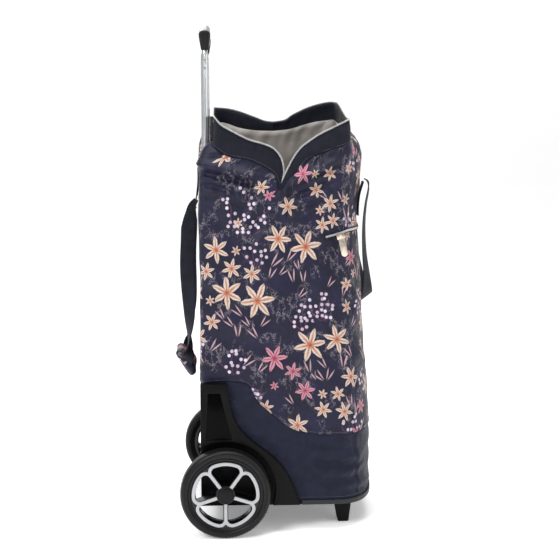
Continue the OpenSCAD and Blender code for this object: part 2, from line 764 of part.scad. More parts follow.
axle();
axle_clip(-1);  // axle_clip_right
axle_clip(1);  // axle_clip_left
axle_washer(-1);  // axle_washer_right
axle_washer(1);  // axle_washer_left
tyre(-1);  // tyre_right
tyre(1);  // tyre_left
rim(-1);  // rim_right
rim(1);  // rim_left
rim_trim(-1);  // rim_trim_right
rim_trim(1);  // rim_trim_left
hub_cap(-1);  // hub_cap_right
hub_cap(1);  // hub_cap_left
housing(-1);  // housing_right
housing(1);  // housing_left
housing_inlay(-1);  // housing_inlay_right
housing_inlay(1);  // housing_inlay_left
housing_bolts(-1);  // housing_bolts_right
housing_bolts(1);  // housing_bolts_left
base_tray();
foot(-1);  // foot_right
foot(1);  // foot_left
floor_board();
back_board();
fixed_tube(-1);  // fixed_tube_right
fixed_tube(1);  // fixed_tube_left
tube_bracket();
sliding_tube(-1);  // sliding_tube_right
sliding_tube(1);  // sliding_tube_left
tube_rivets(-1);  // tube_rivets_right
tube_rivets(1);  // tube_rivets_left
handle_neck(-1);  // handle_neck_right
handle_neck(1);  // handle_neck_left
grip_end(-1);  // grip_end_right
grip_end(1);  // grip_end_left
grip_centre();
release_button();
bag_back();
bag_side(-1);  // bag_side_right
bag_side(1);  // bag_side_left
bag_front();
base_side(-1);  // base_side_right
base_side(1);  // base_side_left
base_front();
hem_trim();
mouth_band_rear();
mouth_band_front();
mouth_zip_rear();
mouth_zip_front();
rear_guard();
mouth_slider();
mouth_pull();
pocket_zip();
pocket_slider();
pocket_pull();
front_tabs();
rear_tabs();
front_handle();
rear_handle();
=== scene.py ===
"""Looks of a two-wheeled shopping trolley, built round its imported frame, in the order it is put together.
+X is the front of the bag, +Y its left side, +Z up. Metres throughout."""
import math

import bmesh
import bpy
import numpy as np
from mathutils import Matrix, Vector


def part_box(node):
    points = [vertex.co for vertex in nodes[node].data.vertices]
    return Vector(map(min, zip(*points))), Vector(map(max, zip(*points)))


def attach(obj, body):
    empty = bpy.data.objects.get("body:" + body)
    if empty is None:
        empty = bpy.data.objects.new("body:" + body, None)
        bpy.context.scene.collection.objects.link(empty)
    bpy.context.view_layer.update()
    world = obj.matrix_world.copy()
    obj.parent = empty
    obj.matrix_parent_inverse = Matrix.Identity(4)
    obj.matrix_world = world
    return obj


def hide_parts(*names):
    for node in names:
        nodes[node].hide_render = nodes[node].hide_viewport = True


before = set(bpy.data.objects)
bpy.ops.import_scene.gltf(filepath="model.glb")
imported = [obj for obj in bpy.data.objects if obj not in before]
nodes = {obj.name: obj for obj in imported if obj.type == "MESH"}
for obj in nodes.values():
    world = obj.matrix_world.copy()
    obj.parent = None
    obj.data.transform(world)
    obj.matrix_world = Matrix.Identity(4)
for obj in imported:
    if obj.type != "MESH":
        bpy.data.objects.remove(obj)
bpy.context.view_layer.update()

# ---- Studio: camera, floor and lamps ----
# A white paper sweep runs from the floor up behind the trolley. Three large soft lamps and an even
# white surround light it without hard shadows.


def linear(hex_colour):
    """sRGB hex colour as a linear RGBA tuple."""
    parts = [int(hex_colour[i:i + 2], 16) / 255 for i in (1, 3, 5)]
    return tuple(p / 12.92 if p <= 0.04045 else ((p + 0.055) / 1.055) ** 2.4 for p in parts) + (1.0,)


def add(tree, kind, feeds=(), **settings):
    """Adds a node; feeds are sockets, nodes (their first output) or plain values, by place or by name."""
    node = tree.nodes.new(kind)
    for name, value in settings.items():
        setattr(node, name, value)
    for key, value in feeds.items() if isinstance(feeds, dict) else enumerate(feeds):
        if isinstance(value, bpy.types.Node):
            value = value.outputs[0]
        if isinstance(value, bpy.types.NodeSocket):
            tree.links.new(value, node.inputs[key])
        else:
            node.inputs[key].default_value = value
    return node


def new_material(name):
    """An empty node material and its tree."""
    made = bpy.data.materials.new(name)
    made.use_nodes = True
    made.node_tree.nodes.clear()
    return made, made.node_tree


def finish_material(tree, shader):
    add(tree, "ShaderNodeOutputMaterial", {"Surface": shader})


camera = bpy.data.objects.new("camera", bpy.data.cameras.new("camera"))
camera.data.lens = 75.19
camera.data.sensor_width = 36
camera.location = (-0.1083, -2.2982, 0.7866)
camera.rotation_euler = (math.radians(90 - 8.03), 0, math.radians(-3.01))
bpy.context.scene.collection.objects.link(camera)
bpy.context.scene.camera = camera

paper, tree = new_material("white_sweep_paper")
grain = add(tree, "ShaderNodeTexNoise", {"Scale": 60.0, "Detail": 3.0})
tone = add(tree, "ShaderNodeMixRGB", [grain, linear("#fafafa"), linear("#ffffff")])
finish_material(tree, add(tree, "ShaderNodeBsdfPrincipled",
                          {"Base Color": tone, "Roughness": 0.9, "Specular IOR Level": 0.1,
                           "Emission Color": linear("#ffffff"), "Emission Strength": 0.22}))

rise_y, rise_r = 3.0, 1.5  # where the paper starts to rise behind the trolley, and its radius there
sweep_profile = [(-6.0, 0.0), (rise_y, 0.0)]
sweep_profile += [(rise_y + rise_r * math.sin(a), rise_r - rise_r * math.cos(a))
                  for a in np.linspace(0.1, math.pi / 2, 12)]
sweep_profile += [(rise_y + rise_r, 7.0)]
mesh = bpy.data.meshes.new("sweep")
verts = [(x, y, z) for y, z in sweep_profile for x in (-9, 9)]
faces = [(2 * i, 2 * i + 1, 2 * i + 3, 2 * i + 2) for i in range(len(sweep_profile) - 1)]
mesh.from_pydata(verts, [], faces)
mesh.materials.append(paper)
mesh.shade_smooth()
sweep = bpy.data.objects.new("sweep", mesh)
bpy.context.scene.collection.objects.link(sweep)

world = bpy.data.worlds.new("surround")
world.use_nodes = True
surround = world.node_tree.nodes["Background"].inputs
surround["Color"].default_value = linear("#ffffff")
surround["Strength"].default_value = 0.38
bpy.context.scene.world = world
bpy.context.scene.view_settings.view_transform = "Standard"

# name, place, width and watts of each lamp
for name, place, size, power in [("key", (-1.7, -2.4, 2.6), 1.2, 80), ("fill", (2.4, -1.6, 1.7), 1.6, 18),
                                 ("top", (0.2, -0.3, 3.0), 1.6, 54), ("back", (-0.6, 2.2, 2.2), 1.6, 28)]:
    lamp = bpy.data.objects.new(name, bpy.data.lights.new(name, "AREA"))
    lamp.data.size = size
    lamp.data.energy = power
    lamp.location = place
    lamp.rotation_euler = (Vector((0, 0, 0.45)) - Vector(place)).to_track_quat("-Z", "Y").to_euler()
    bpy.context.scene.collection.objects.link(lamp)

# ---- Base, feet and wheel housings ----
# The base, its feet and the two wheel housings are injection-moulded black polypropylene with a
# fine spark-eroded grain. Their edges have a small radius, which catches the light. The bracket
# that ties the tubes is shown with its edges as they are.


def moulded(name, colour, grain_mm, roughness, bump=0.25, gloss=0.3):
    """Moulded plastic with an even grain that varies its gloss.

    The grain is drawn at 0.6 to 0.9 mm, coarser than a real one, so that it shows.
    """
    made, tree = new_material(name)
    place = add(tree, "ShaderNodeTexCoord")
    fine = add(tree, "ShaderNodeTexNoise",
               {"Vector": place.outputs["Object"], "Scale": 1000 / grain_mm, "Detail": 2.0})
    broad = add(tree, "ShaderNodeTexNoise", {"Vector": place.outputs["Object"], "Scale": 14.0, "Detail": 4.0})
    shade = add(tree, "ShaderNodeMapRange", [broad, 0.3, 0.7, 0.88, 1.14])
    tint = add(tree, "ShaderNodeVectorMath", {0: linear(colour)[:3], "Scale": shade}, operation="SCALE")
    rough = add(tree, "ShaderNodeMapRange", [fine, 0.3, 0.7, roughness - 0.06, roughness + 0.06])
    relief = add(tree, "ShaderNodeBump", {"Strength": bump, "Distance": 0.0002, "Height": fine})
    finish_material(tree, add(tree, "ShaderNodeBsdfPrincipled",
                              {"Base Color": tint, "Roughness": rough, "IOR": 1.49, "Normal": relief,
                               "Specular IOR Level": gloss}))
    return made


def dress(node, material):
    """Puts a material on a solid that is shown as it is."""
    nodes[node].data.materials.clear()
    nodes[node].data.materials.append(material)


def place_piece(obj, body, slot, *stands_for):
    """Makes a finished piece ride on its body and take the place of the solids it stands for."""
    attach(obj, body)
    if stands_for:
        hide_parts(*stands_for)


def applied(obj):
    """Turns an object's modifiers into plain mesh."""
    result = bpy.data.meshes.new_from_object(obj.evaluated_get(bpy.context.evaluated_depsgraph_get()))
    obj.modifiers.clear()
    obj.data = result
    return obj


def rounded_piece(node, material, body, slot, radius, segments=2, angle=32):
    """Shows a solid with a material, and with its edges rounded the way a mould rounds them."""
    mesh = nodes[node].data.copy()
    mesh.materials.clear()
    shape = bmesh.new()
    shape.from_mesh(mesh)
    bmesh.ops.remove_doubles(shape, verts=shape.verts, dist=1e-5)
    bmesh.ops.dissolve_limit(shape, angle_limit=math.radians(1.0), verts=shape.verts, edges=shape.edges)
    shape.to_mesh(mesh)
    shape.free()
    obj = bpy.data.objects.new(node + "_shown", mesh)
    bpy.context.scene.collection.objects.link(obj)
    bevel = obj.modifiers.new("edges", "BEVEL")
    bevel.width = radius
    bevel.segments = segments
    bevel.limit_method = "ANGLE"
    bevel.angle_limit = math.radians(angle)
    applied(obj)
    obj.data.shade_smooth()
    obj.data.set_sharp_from_angle(angle=math.radians(35))
    obj.data.materials.append(material)
    place_piece(obj, body, slot, node)


moulding = moulded("moulded_polypropylene_black", "#080809", 0.9, 0.48, gloss=0.13)
gloss_moulding = moulded("glossy_polypropylene_inlay", "#020203", 0.6, 0.2, bump=0.05, gloss=0.06)
for node in ("base_tray", "foot_right", "foot_left"):
    rounded_piece(node, moulding, "trolley", "housing", 0.0025)
for side in ("right", "left"):
    rounded_piece("housing_" + side, moulding, "trolley", "housing", 0.0022, 3)
    rounded_piece("housing_inlay_" + side, gloss_moulding, "trolley", "inlay", 0.0003)
dress("tube_bracket", moulding)

# ---- Axle and fixings ----
# A zinc-plated steel rod runs through both housings; push-on clips hold the wheels and plated
# bolts hold the housings.


def uneven_finish(name, scale, detail, first, second, rough=None, bump=0.0, settings=None):
    """A finish whose tone, and if asked its gloss and relief, wander with one fine noise."""
    made, tree = new_material(name)
    place = add(tree, "ShaderNodeTexCoord")
    haze = add(tree, "ShaderNodeTexNoise",
               {"Vector": place.outputs["Object"], "Scale": scale, "Detail": detail})
    sockets = {"Base Color": add(tree, "ShaderNodeMixRGB", [haze, linear(first), linear(second)])}
    if rough:
        sockets["Roughness"] = add(tree, "ShaderNodeMapRange", [haze, 0.3, 0.7, *rough])
    if bump:
        sockets["Normal"] = add(tree, "ShaderNodeBump", {"Strength": 0.3, "Distance": bump, "Height": haze})
    finish_material(tree, add(tree, "ShaderNodeBsdfPrincipled", {**sockets, **(settings or {})}))
    return made


plated = uneven_finish("zinc_plated_steel", 300.0, 3.0, "#8f9296", "#b4b6b8", rough=(0.28, 0.42),
                       settings={"Metallic": 1.0})
for node in ("axle", "axle_clip_right", "axle_clip_left", "axle_washer_right", "axle_washer_left",
             "housing_bolts_right", "housing_bolts_left"):
    dress(node, plated)

# ---- Wheels ----
# Solid moulded rubber tyres sit on five-spoke rims of black ABS. A flat silver-painted outline
# follows the five windows, and a black cap closes the hub.

rubber, tree = new_material("moulded_black_rubber")
place = add(tree, "ShaderNodeTexCoord")
dust = add(tree, "ShaderNodeTexNoise", {"Vector": place.outputs["Object"], "Scale": 35.0, "Detail": 5.0})
pores = add(tree, "ShaderNodeTexNoise", {"Vector": place.outputs["Object"], "Scale": 900.0, "Detail": 2.0})
tone = add(tree, "ShaderNodeMixRGB", [dust, linear("#050506"), linear("#0d0d0f")])
relief = add(tree, "ShaderNodeBump", {"Strength": 0.3, "Distance": 0.0002, "Height": pores})
finish_material(tree, add(tree, "ShaderNodeBsdfPrincipled",
                          {"Base Color": tone, "Roughness": 0.42, "IOR": 1.52, "Specular IOR Level": 0.26,
                           "Normal": relief}))
rim_plastic = moulded("moulded_abs_black", "#0b0b0d", 0.8, 0.24, bump=0.1, gloss=0.35)
hub_plastic = moulded("moulded_abs_hub", "#070708", 0.8, 0.36, bump=0.15, gloss=0.2)

silver_paint, tree = new_material("silver_painted_abs")
place = add(tree, "ShaderNodeTexCoord")
# The paint's flakes are drawn 0.7 mm apart, much coarser than real ones, so that they show.
flake = add(tree, "ShaderNodeTexVoronoi", {"Vector": place.outputs["Object"], "Scale": 1400.0})
tone = add(tree, "ShaderNodeMixRGB", [flake.outputs["Distance"], linear("#b9babd"), linear("#a3a4a8")])
finish_material(tree, add(tree, "ShaderNodeBsdfPrincipled",
                          {"Base Color": tone, "Metallic": 0.35, "Roughness": 0.42}))


def grid_faces(rows, columns, closed):
    """Quads of a grid of points; closed joins the last column to the first."""
    last = columns if closed else columns - 1
    return [(r * columns + c, r * columns + (c + 1) % columns,
             (r + 1) * columns + (c + 1) % columns, (r + 1) * columns + c)
            for r in range(rows - 1) for c in range(last)]


def grid_object(name, points, material, closed=False):
    """A smooth sheet over a grid of points, shaped (rows, columns, 3)."""
    rows, columns = points.shape[:2]
    mesh = bpy.data.meshes.new(name)
    mesh.from_pydata(points.reshape(-1, 3).tolist(), [], grid_faces(rows, columns, closed))
    mesh.materials.append(material)
    mesh.shade_smooth()
    obj = bpy.data.objects.new(name, mesh)
    bpy.context.scene.collection.objects.link(obj)
    return obj


def outward(obj):
    """Recalculates the normals of a closed shape."""
    shape = bmesh.new()
    shape.from_mesh(obj.data)
    bmesh.ops.remove_doubles(shape, verts=shape.verts, dist=1e-6)
    bmesh.ops.recalc_face_normals(shape, faces=shape.faces)
    shape.to_mesh(obj.data)
    shape.free()
    return obj


for side in ("right", "left"):
    low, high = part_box("tyre_" + side)
    centre = (low + high) / 2
    tyre_r = (high.z - low.z) / 2
    tyre_half = (high.y - low.y) / 2
    seat_r = (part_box("rim_" + side)[1].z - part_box("rim_" + side)[0].z) / 2
    # cross-section from one bead over the tread to the other: (radius, share of the half width)
    section = [(seat_r, 0.8), (seat_r + 0.0015, 0.86), (seat_r + 0.004, 0.93), (seat_r + 0.0052, 0.95),
               (seat_r + 0.0058, 0.86), (seat_r + 0.0068, 0.95), (seat_r + 0.0095, 0.995),
               (tyre_r - 0.0085, 1.0), (tyre_r - 0.0078, 0.94), (tyre_r - 0.0066, 0.96),
               (tyre_r - 0.0040, 0.90), (tyre_r - 0.0018, 0.78), (tyre_r - 0.0006, 0.6),
               (tyre_r - 0.0001, 0.42), (tyre_r - 0.0001, 0.36), (tyre_r - 0.0016, 0.33),
               (tyre_r - 0.0016, 0.28), (tyre_r, 0.25), (tyre_r, 0.0)]
    section += [(r, -w) for r, w in reversed(section[:-1])]
    section += [(seat_r, -0.5), (seat_r, 0.5)]
    turns = np.linspace(0, 2 * math.pi, 144, endpoint=False)
    points = np.array([[[centre.x + r * math.sin(a), centre.y + w * tyre_half, centre.z - r * math.cos(a)]
                        for a in turns] for r, w in section + section[:1]])
    tyre = outward(grid_object("tyre_" + side + "_shown", points, rubber, closed=True))
    tyre.data.set_sharp_from_angle(angle=math.radians(50))
    place_piece(tyre, "wheel_" + side, "tyre", "tyre_" + side)
    for part, radius, material, slot in (("rim_", 0.0012, rim_plastic, "rim_black"),
                                         ("rim_trim_", 0.0004, silver_paint, "rim_silver"),
                                         ("hub_cap_", 0.0012, hub_plastic, "rim_black")):
        rounded_piece(part + side, material, "wheel_" + side, slot, radius, 2, 40)

# ---- Telescoping handle ----
# Two satin-anodised fluted aluminium tubes slide in fixed tubes behind the bag. Each ends in a
# bright metal neck and a black grip end, with an arched grey crosspiece between them.

anodised, tree = new_material("satin_anodised_aluminium")
place = add(tree, "ShaderNodeTexCoord")
stretch = add(tree, "ShaderNodeMapping", {"Vector": place.outputs["Object"], "Scale": (1500.0, 1500.0, 12.0)})
draw = add(tree, "ShaderNodeTexNoise", {"Vector": stretch, "Scale": 1.0, "Detail": 3.0})
tone = add(tree, "ShaderNodeMixRGB", [draw, linear("#d2d4d6"), linear("#e8e9ea")])
rough = add(tree, "ShaderNodeMapRange", [draw, 0.3, 0.7, 0.2, 0.34])
relief = add(tree, "ShaderNodeBump", {"Strength": 0.15, "Distance": 0.0001, "Height": draw})
finish_material(tree, add(tree, "ShaderNodeBsdfPrincipled",
                          {"Base Color": tone, "Metallic": 1.0, "Roughness": rough, "Normal": relief}))
for side in ("right", "left"):
    for node in ("sliding_tube_", "tube_rivets_", "handle_neck_"):
        rounded_piece(node + side, anodised, "handle", "tube", 0.0003, 1, 50)
    dress("fixed_tube_" + side, anodised)

grip_plastic = moulded("soft_touch_grip_black", "#08080a", 0.7, 0.45, bump=0.3, gloss=0.28)
grey_plastic = moulded("satin_grey_abs", "#6f7276", 0.8, 0.34, bump=0.12)


def squared_off(wave, power):
    """A sine or cosine pushed outwards: powers below 1 turn a round section into a squarer one."""
    return np.sign(wave) * np.abs(wave) ** power


for side in ("right", "left"):
    low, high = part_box("grip_end_" + side)
    middle = (low + high) / 2
    neck_half = (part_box("handle_neck_" + side)[1].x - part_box("handle_neck_" + side)[0].x) / 2
    # rings from the neck up: (share of the height, half size along X, half size along Y)
    rings = [(0.0, 0.0, 0.0), (0.0, neck_half * 0.86, neck_half * 0.95), (0.03, neck_half * 0.9, neck_half),
             (0.25, 0.0079, 0.0098), (0.5, 0.0094, 0.0124), (0.72, 0.0106, 0.0144), (0.86, 0.0104, 0.0148),
             (0.94, 0.0088, 0.0142), (0.985, 0.0056, 0.0125), (1.0, 0.002, 0.009), (1.0, 0.0, 0.0)]
    angles = np.linspace(0, 2 * math.pi, 96, endpoint=False)
    points = []
    for share, rx, ry in rings:
        rib = 0.00035 * np.cos(14 * angles) * (0.03 < share < 0.9)  # fourteen shallow finger ribs
        cx, cy = squared_off(np.cos(angles), 0.72), squared_off(np.sin(angles), 0.72)
        points.append(np.stack([middle.x + (rx + rib) * cx, middle.y + (ry + rib) * cy,
                                np.full(96, low.z + share * (high.z - low.z))], 1))
    grip = outward(grid_object("grip_end_" + side + "_shown", np.array(points), grip_plastic, closed=True))
    place_piece(grip, "handle", "grip_black", "grip_end_" + side)
rounded_piece("grip_centre", grey_plastic, "handle", "grip_grey", 0.0008, 2, 50)
rounded_piece("release_button", grip_plastic, "button", "grip_black", 0.0012, 3)

# ---- Shape of the bag ----
# The bag is cut from polyester: a back panel, two sides and a front that bulges, gathered in
# under the mouth's band. One grid of points stands for the whole cloth, round and up.

body_low, body_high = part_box("bag_back")
back_x = body_low.x
half_w = body_high.y
front_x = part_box("base_front")[1].x
base_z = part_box("base_front")[0].z
mouth_z = body_high.z
SHOULDER = 0.042  # height over which the cloth turns in to the mouth
shoulder_z = mouth_z - SHOULDER
mouth_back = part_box("mouth_band_rear")[0].x
mouth_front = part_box("mouth_band_front")[1].x
vee_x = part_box("mouth_band_rear")[1].x + 0.001
housing_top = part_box("housing_right")[1].z
front_bulge = 0.078  # depth of the round front, seen from above
waist_z = shoulder_z - 0.1
front_lean = 0.030  # how far back the front leans at its waist
lean_z = base_z + 0.13  # where it starts to lean
COUNTS = (30, 7, 58, 88)  # columns on half the back, a back corner, a side and the front


def even(points, count):
    """A polyline's points, evenly spaced, without its last one."""
    steps = np.r_[0, np.cumsum(np.linalg.norm(np.diff(points, axis=0), axis=1))]
    at = np.linspace(0, steps[-1], count, endpoint=False)
    return np.stack([np.interp(at, steps, points[:, i]) for i in (0, 1)], 1)


def outline(back, front, half, bulge, power, corner):
    """The bag seen from above, from the middle of the back round the right side, front and left."""
    turn = np.radians(np.linspace(-90, 90, 400))
    nose = np.stack([front - bulge + bulge * np.abs(np.cos(turn)) ** (2 / power),
                     half * squared_off(np.sin(turn), 2 / power)], 1)
    arc = np.radians(np.linspace(180, 270, 20))
    bend = np.stack([back + corner + corner * np.cos(arc), -half + corner + corner * np.sin(arc)], 1)
    flip = np.array([1, -1])
    rear, round_corner, flank, front_count = COUNTS
    return np.concatenate([
        even(np.array([(back, 0), bend[0]]), rear), even(bend, round_corner),
        even(np.array([bend[-1], nose[0]]), flank), even(nose, front_count),
        even(np.array([nose[-1], bend[-1] * flip]), flank), even((bend * flip)[::-1], round_corner),
        even(np.array([bend[0] * flip, (back, 0)]), rear)])


reference = outline(back_x, front_x, half_w, front_bulge, 2.4, 0.014)
girth_steps = np.linalg.norm(np.diff(np.r_[reference, reference[:1]], axis=0), axis=1)
girth = np.r_[0, np.cumsum(girth_steps)]  # distance round the cloth at each column
columns = len(reference)
right_edge = girth[COUNTS[0]] + 0.007  # the right side's back edge
is_right = reference[:, 1] < 0


def curve_through(points, count):
    """A smooth curve through a few points, evenly spaced."""
    p = np.array(points, float)
    p = np.concatenate([2 * p[:1] - p[1:2], p, 2 * p[-1:] - p[-2:-1]])
    t = np.linspace(0, 1, 24, endpoint=False)[:, None]
    runs = [0.5 * (2 * b + (c - a) * t + (2 * a - 5 * b + 4 * c - d) * t ** 2
                   + (3 * b - a - 3 * c + d) * t ** 3)
            for a, b, c, d in zip(p, p[1:], p[2:], p[3:])]
    dense = np.concatenate(runs + [p[-2:-1]])
    steps = np.r_[0, np.cumsum(np.linalg.norm(np.diff(dense, axis=0), axis=1))]
    at = np.linspace(0, steps[-1], count)
    return np.stack([np.interp(at, steps, dense[:, i]) for i in range(dense.shape[1])], 1)


x0 = (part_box("axle")[0].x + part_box("axle")[1].x) / 2


def mm(*pairs):
    """Places beside the mouth: millimetres in front of the axle and above the floor."""
    return [(x0 + x / 1000, z / 1000) for x, z in pairs]


def eased(share):
    """A share from 0 to 1 that starts and ends gently."""
    return share * share * (3 - 2 * share)


# The cloth ends under the bands' lower edges: they drop to the zip's end on the right side, where
# the mouth is unzipped, and sag a little on the left.
REAR_RIGHT = mm((101, 650), (94.5, 676), (76, 691), (60, 699), (43, 705), (21, 709), (3, 714), (-12, 725),
                (-19, 734))
REAR_LEFT = mm((-19, 765), (6, 762), (36, 752), (70, 747), (105, 746))
FRONT_RIGHT = mm((104, 650), (118, 664), (135, 683), (146, 696), (155, 704), (168, 711), (186, 718),
                 (205, 725), (223, 731), (234, 737))
FRONT_LEFT = mm((234, 769), (210, 767), (181, 762), (140, 750), (105, 746))
mouth_ring = outline(mouth_back, mouth_front, half_w - 0.001, 0.02, 6, 0.02)
sides = slice(COUNTS[0] + COUNTS[1], COUNTS[0] + COUNTS[1] + COUNTS[2])
far_sides = slice(sides.stop + COUNTS[3], sides.stop + COUNTS[3] + COUNTS[2])
for part in (sides, far_sides):
    ends = sorted((part.start, part.stop - 1), key=lambda i: reference[i, 0])
    mouth_ring[part, 0] = np.interp(reference[part, 0], [reference[ends[0], 0], vee_x, reference[ends[1], 0]],
                                    [mouth_ring[ends[0], 0], vee_x, mouth_ring[ends[1], 0]])
edge_right = np.concatenate([curve_through(REAR_RIGHT[::-1], 80), curve_through(FRONT_RIGHT, 80)])
edge_left = np.concatenate([curve_through(REAR_LEFT, 60), curve_through(FRONT_LEFT[::-1], 60)])
top_edge = np.where(is_right, np.interp(mouth_ring[:, 0], edge_right[:, 0], edge_right[:, 1]),
                    np.interp(mouth_ring[:, 0], edge_left[:, 0], edge_left[:, 1]))
share = eased(np.clip(0.5 + mouth_ring[:, 1] / (2 * half_w - 0.036), 0, 1))
ends_z = np.where(mouth_ring[:, 0] < 0, edge_right[0, 1] + (edge_left[0, 1] - edge_right[0, 1]) * share,
                  edge_right[-1, 1] + (edge_left[-1, 1] - edge_right[-1, 1]) * share)
on_end = (mouth_ring[:, 0] < mouth_back + 0.003) | (mouth_ring[:, 0] > mouth_front - 0.003)
top_edge = np.where(on_end, ends_z, top_edge) + 0.003

# The seam over the plain base: high beside the housings and across the back, low round the front.
seam_points = np.array([(back_x - 0.01, housing_top - 0.001), (back_x + 0.084, housing_top - 0.001),
                        (back_x + 0.112, housing_top - 0.039), (back_x + 0.165, housing_top - 0.085),
                        (back_x + 0.208, housing_top - 0.1), (back_x + 0.275, housing_top - 0.103),
                        (front_x + 0.01, housing_top - 0.101)])
seam_curve = curve_through(seam_points, 200)
base_seam = np.interp(reference[:, 0], seam_curve[:, 0], seam_curve[:, 1])

random_folds = np.random.default_rng(7)
FOLDS = [(random_folds.uniform(8, 34), random_folds.uniform(6, 30), random_folds.uniform(0, 6.28),
          random_folds.uniform(0.4, 1.0)) for _ in range(14)]


def front_line(z):
    """How far the front leans back at a height: most at its waist, a little less at the shoulder."""
    total = 0.0
    for step in (-0.036, -0.018, 0.0, 0.018, 0.036):
        h = np.clip(z + step, lean_z, shoulder_z)
        total = total + np.where(h < waist_z, (h - lean_z) / (waist_z - lean_z),
                                 1 - (h - waist_z) / (shoulder_z - waist_z) / 3)
    return front_lean * total / 5


def waves(s, z):
    """Slow, uneven ripples of soft cloth; s and z are metres round it and up."""
    total = np.zeros(np.broadcast(s, z).shape)
    for along, up, phase, size in FOLDS:
        total = total + size * np.sin(along * s + up * z + phase + 1.3 * np.sin(up * s * 0.7 - phase))
    return total / 5


def ridge(s, z, start, end, width, height):
    """A fold that runs from start to end, both (s, z) on the cloth, and dies away at its ends."""
    (s0, z0), (s1, z1) = start, end
    length = math.hypot(s1 - s0, z1 - z0)
    along = ((s - s0) * (s1 - s0) + (z - z0) * (z1 - z0)) / length
    across = (-(s - s0) * (z1 - z0) + (z - z0) * (s1 - s0)) / length
    fade = np.clip(along / (0.25 * length), 0, 1) * np.clip((length - along) / (0.25 * length), 0, 1)
    q = across / width
    return height * eased(fade) * (np.exp(-q ** 2) - 0.75 * np.exp(-(q + 1.7) ** 2))


# Folds on the right side, as distances from its back edge and heights: start, end, width, height.
SIDE_FOLDS = [((-0.02, 0.704), (0.135, 0.668), 0.009, 0.0135), ((-0.01, 0.680), (0.13, 0.645), 0.008, 0.009),
              ((0.0, 0.655), (0.11, 0.630), 0.008, 0.006), ((0.160, 0.655), (0.290, 0.712), 0.008, 0.012),
              ((0.150, 0.635), (0.280, 0.685), 0.008, 0.009), ((0.155, 0.615), (0.265, 0.648), 0.008, 0.007),
              ((0.17, 0.610), (0.260, 0.555), 0.011, 0.0055), ((0.155, 0.61), (0.10, 0.50), 0.014, 0.005),
              ((0.03, 0.63), (0.14, 0.53), 0.015, 0.0045), ((0.135, 0.645), (0.085, 0.575), 0.009, 0.0045),
              ((0.19, 0.53), (0.25, 0.44), 0.013, 0.004), ((0.03, 0.41), (0.17, 0.365), 0.016, 0.0035),
              ((0.09, 0.29), (0.23, 0.335), 0.014, 0.0035), ((0.20, 0.25), (0.29, 0.275), 0.011, 0.003),
              ((0.01, 0.49), (0.10, 0.43), 0.012, 0.0035), ((0.275, 0.67), (0.30, 0.57), 0.008, 0.004),
              ((0.29, 0.50), (0.34, 0.42), 0.012, 0.004), ((0.30, 0.34), (0.38, 0.31), 0.014, 0.0035)]
PANEL_SEAM = ((0.247, 0.665), (0.306, 0.055))  # joins each side to the front


def panel_crease(s, z):
    """The narrow valley along the seam between a side and the front."""
    (s0, z0), (s1, z1) = PANEL_SEAM
    at = s0 + (s1 - s0) * (z - z0) / (z1 - z0)
    return np.where(z < z0, -0.0022 * np.exp(-((s - at) / 0.0045) ** 2)
                    + 0.0012 * np.exp(-((s - at - 0.008) / 0.004) ** 2), 0.0)


def from_back_edge(s):
    """Distance from a side's back edge; the left side is counted like the right one."""
    return np.where(s > girth[-1] / 2, girth[-1] - s, s) - right_edge


def cloth_relief(s, z, top):
    """How far the cloth stands out from its outline."""
    run = from_back_edge(s)
    share = np.where(s > girth[-1] / 2, 0.55, 1.0)  # the left side's folds are softer
    relief = 0.0026 * waves(s, z) + 0.0014 * waves(2.6 * s + 0.4 * z, 2.3 * z)
    for start, end, width, height in SIDE_FOLDS:
        relief = relief + share * ridge(run, z, start, end, width, height)
    relief = relief + panel_crease(run, z)
    gather = np.exp(-np.clip(top - z, 0, 1) / 0.035)
    relief = relief + 0.0026 * gather * np.sin(s * 190 + 2.2 * np.sin(s * 37))
    belly = np.clip((z - 0.08) / 0.1, 0, 1) * np.clip((top - z) / 0.12, 0, 1)
    relief = relief + 0.003 * belly * np.sin(np.clip(run / 0.26, 0, 1) * math.pi)
    return relief * np.clip((top - z) / 0.012, 0, 1)


tube_y = (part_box("fixed_tube_left")[0].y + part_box("fixed_tube_left")[1].y) / 2


def outward_normals(ring):
    """Level unit vectors that point out of the bag, at each point of a closed ring round it."""
    tangent = np.roll(ring, -1, axis=0) - np.roll(ring, 1, axis=0)
    return np.stack([tangent[:, 1], -tangent[:, 0]], 1) / np.linalg.norm(tangent, axis=1)[:, None]


def bag_surface(rows, low, high, proud=0.0, folds=1.0):
    """Points of the cloth between two heights given for each column."""
    made = np.zeros((rows, columns, 3))
    for r in range(rows):
        share = r / (rows - 1)
        z = low + (high - low) * share
        width = (front_x - back_x - front_line(z)) / (front_x - back_x)
        body = np.stack([back_x + (reference[:, 0] - back_x) * width, reference[:, 1]], 1)
        rise = np.clip((z - (top_edge - SHOULDER)) / SHOULDER, 0, 1)
        hold = np.sqrt(np.clip(1 - rise ** 2, 0, 1))[:, None]
        flat = body * hold + mouth_ring * (1 - hold)
        off = proud + folds * cloth_relief(girth[:-1], z, top_edge) * np.where(z > high - 0.002, 0.3, 1)
        # against the housings the cloth lies flat
        by_housing = (np.abs(flat[:, 1]) > half_w - 0.02) & (z < housing_top + 0.01)
        off = np.where(by_housing, np.minimum(off, 0.0), off)
        # and it keeps clear of the handle's tubes and rivets, which slide down close to it
        by_tube = (flat[:, 0] < back_x + 0.014) & (np.abs(np.abs(flat[:, 1]) - tube_y) < 0.024)
        off = np.where(by_tube, np.minimum(off, proud - 0.0015), off)
        made[r, :, :2] = flat + outward_normals(flat) * off[:, None]
        made[r, :, 2] = z
    return made


# ---- Base of the bag ----
# The lower bag is plain navy oxford polyester, coated inside. It is sewn to the printed cloth in
# a stepped seam, and a black binding holds its lower edge against the moulded base.


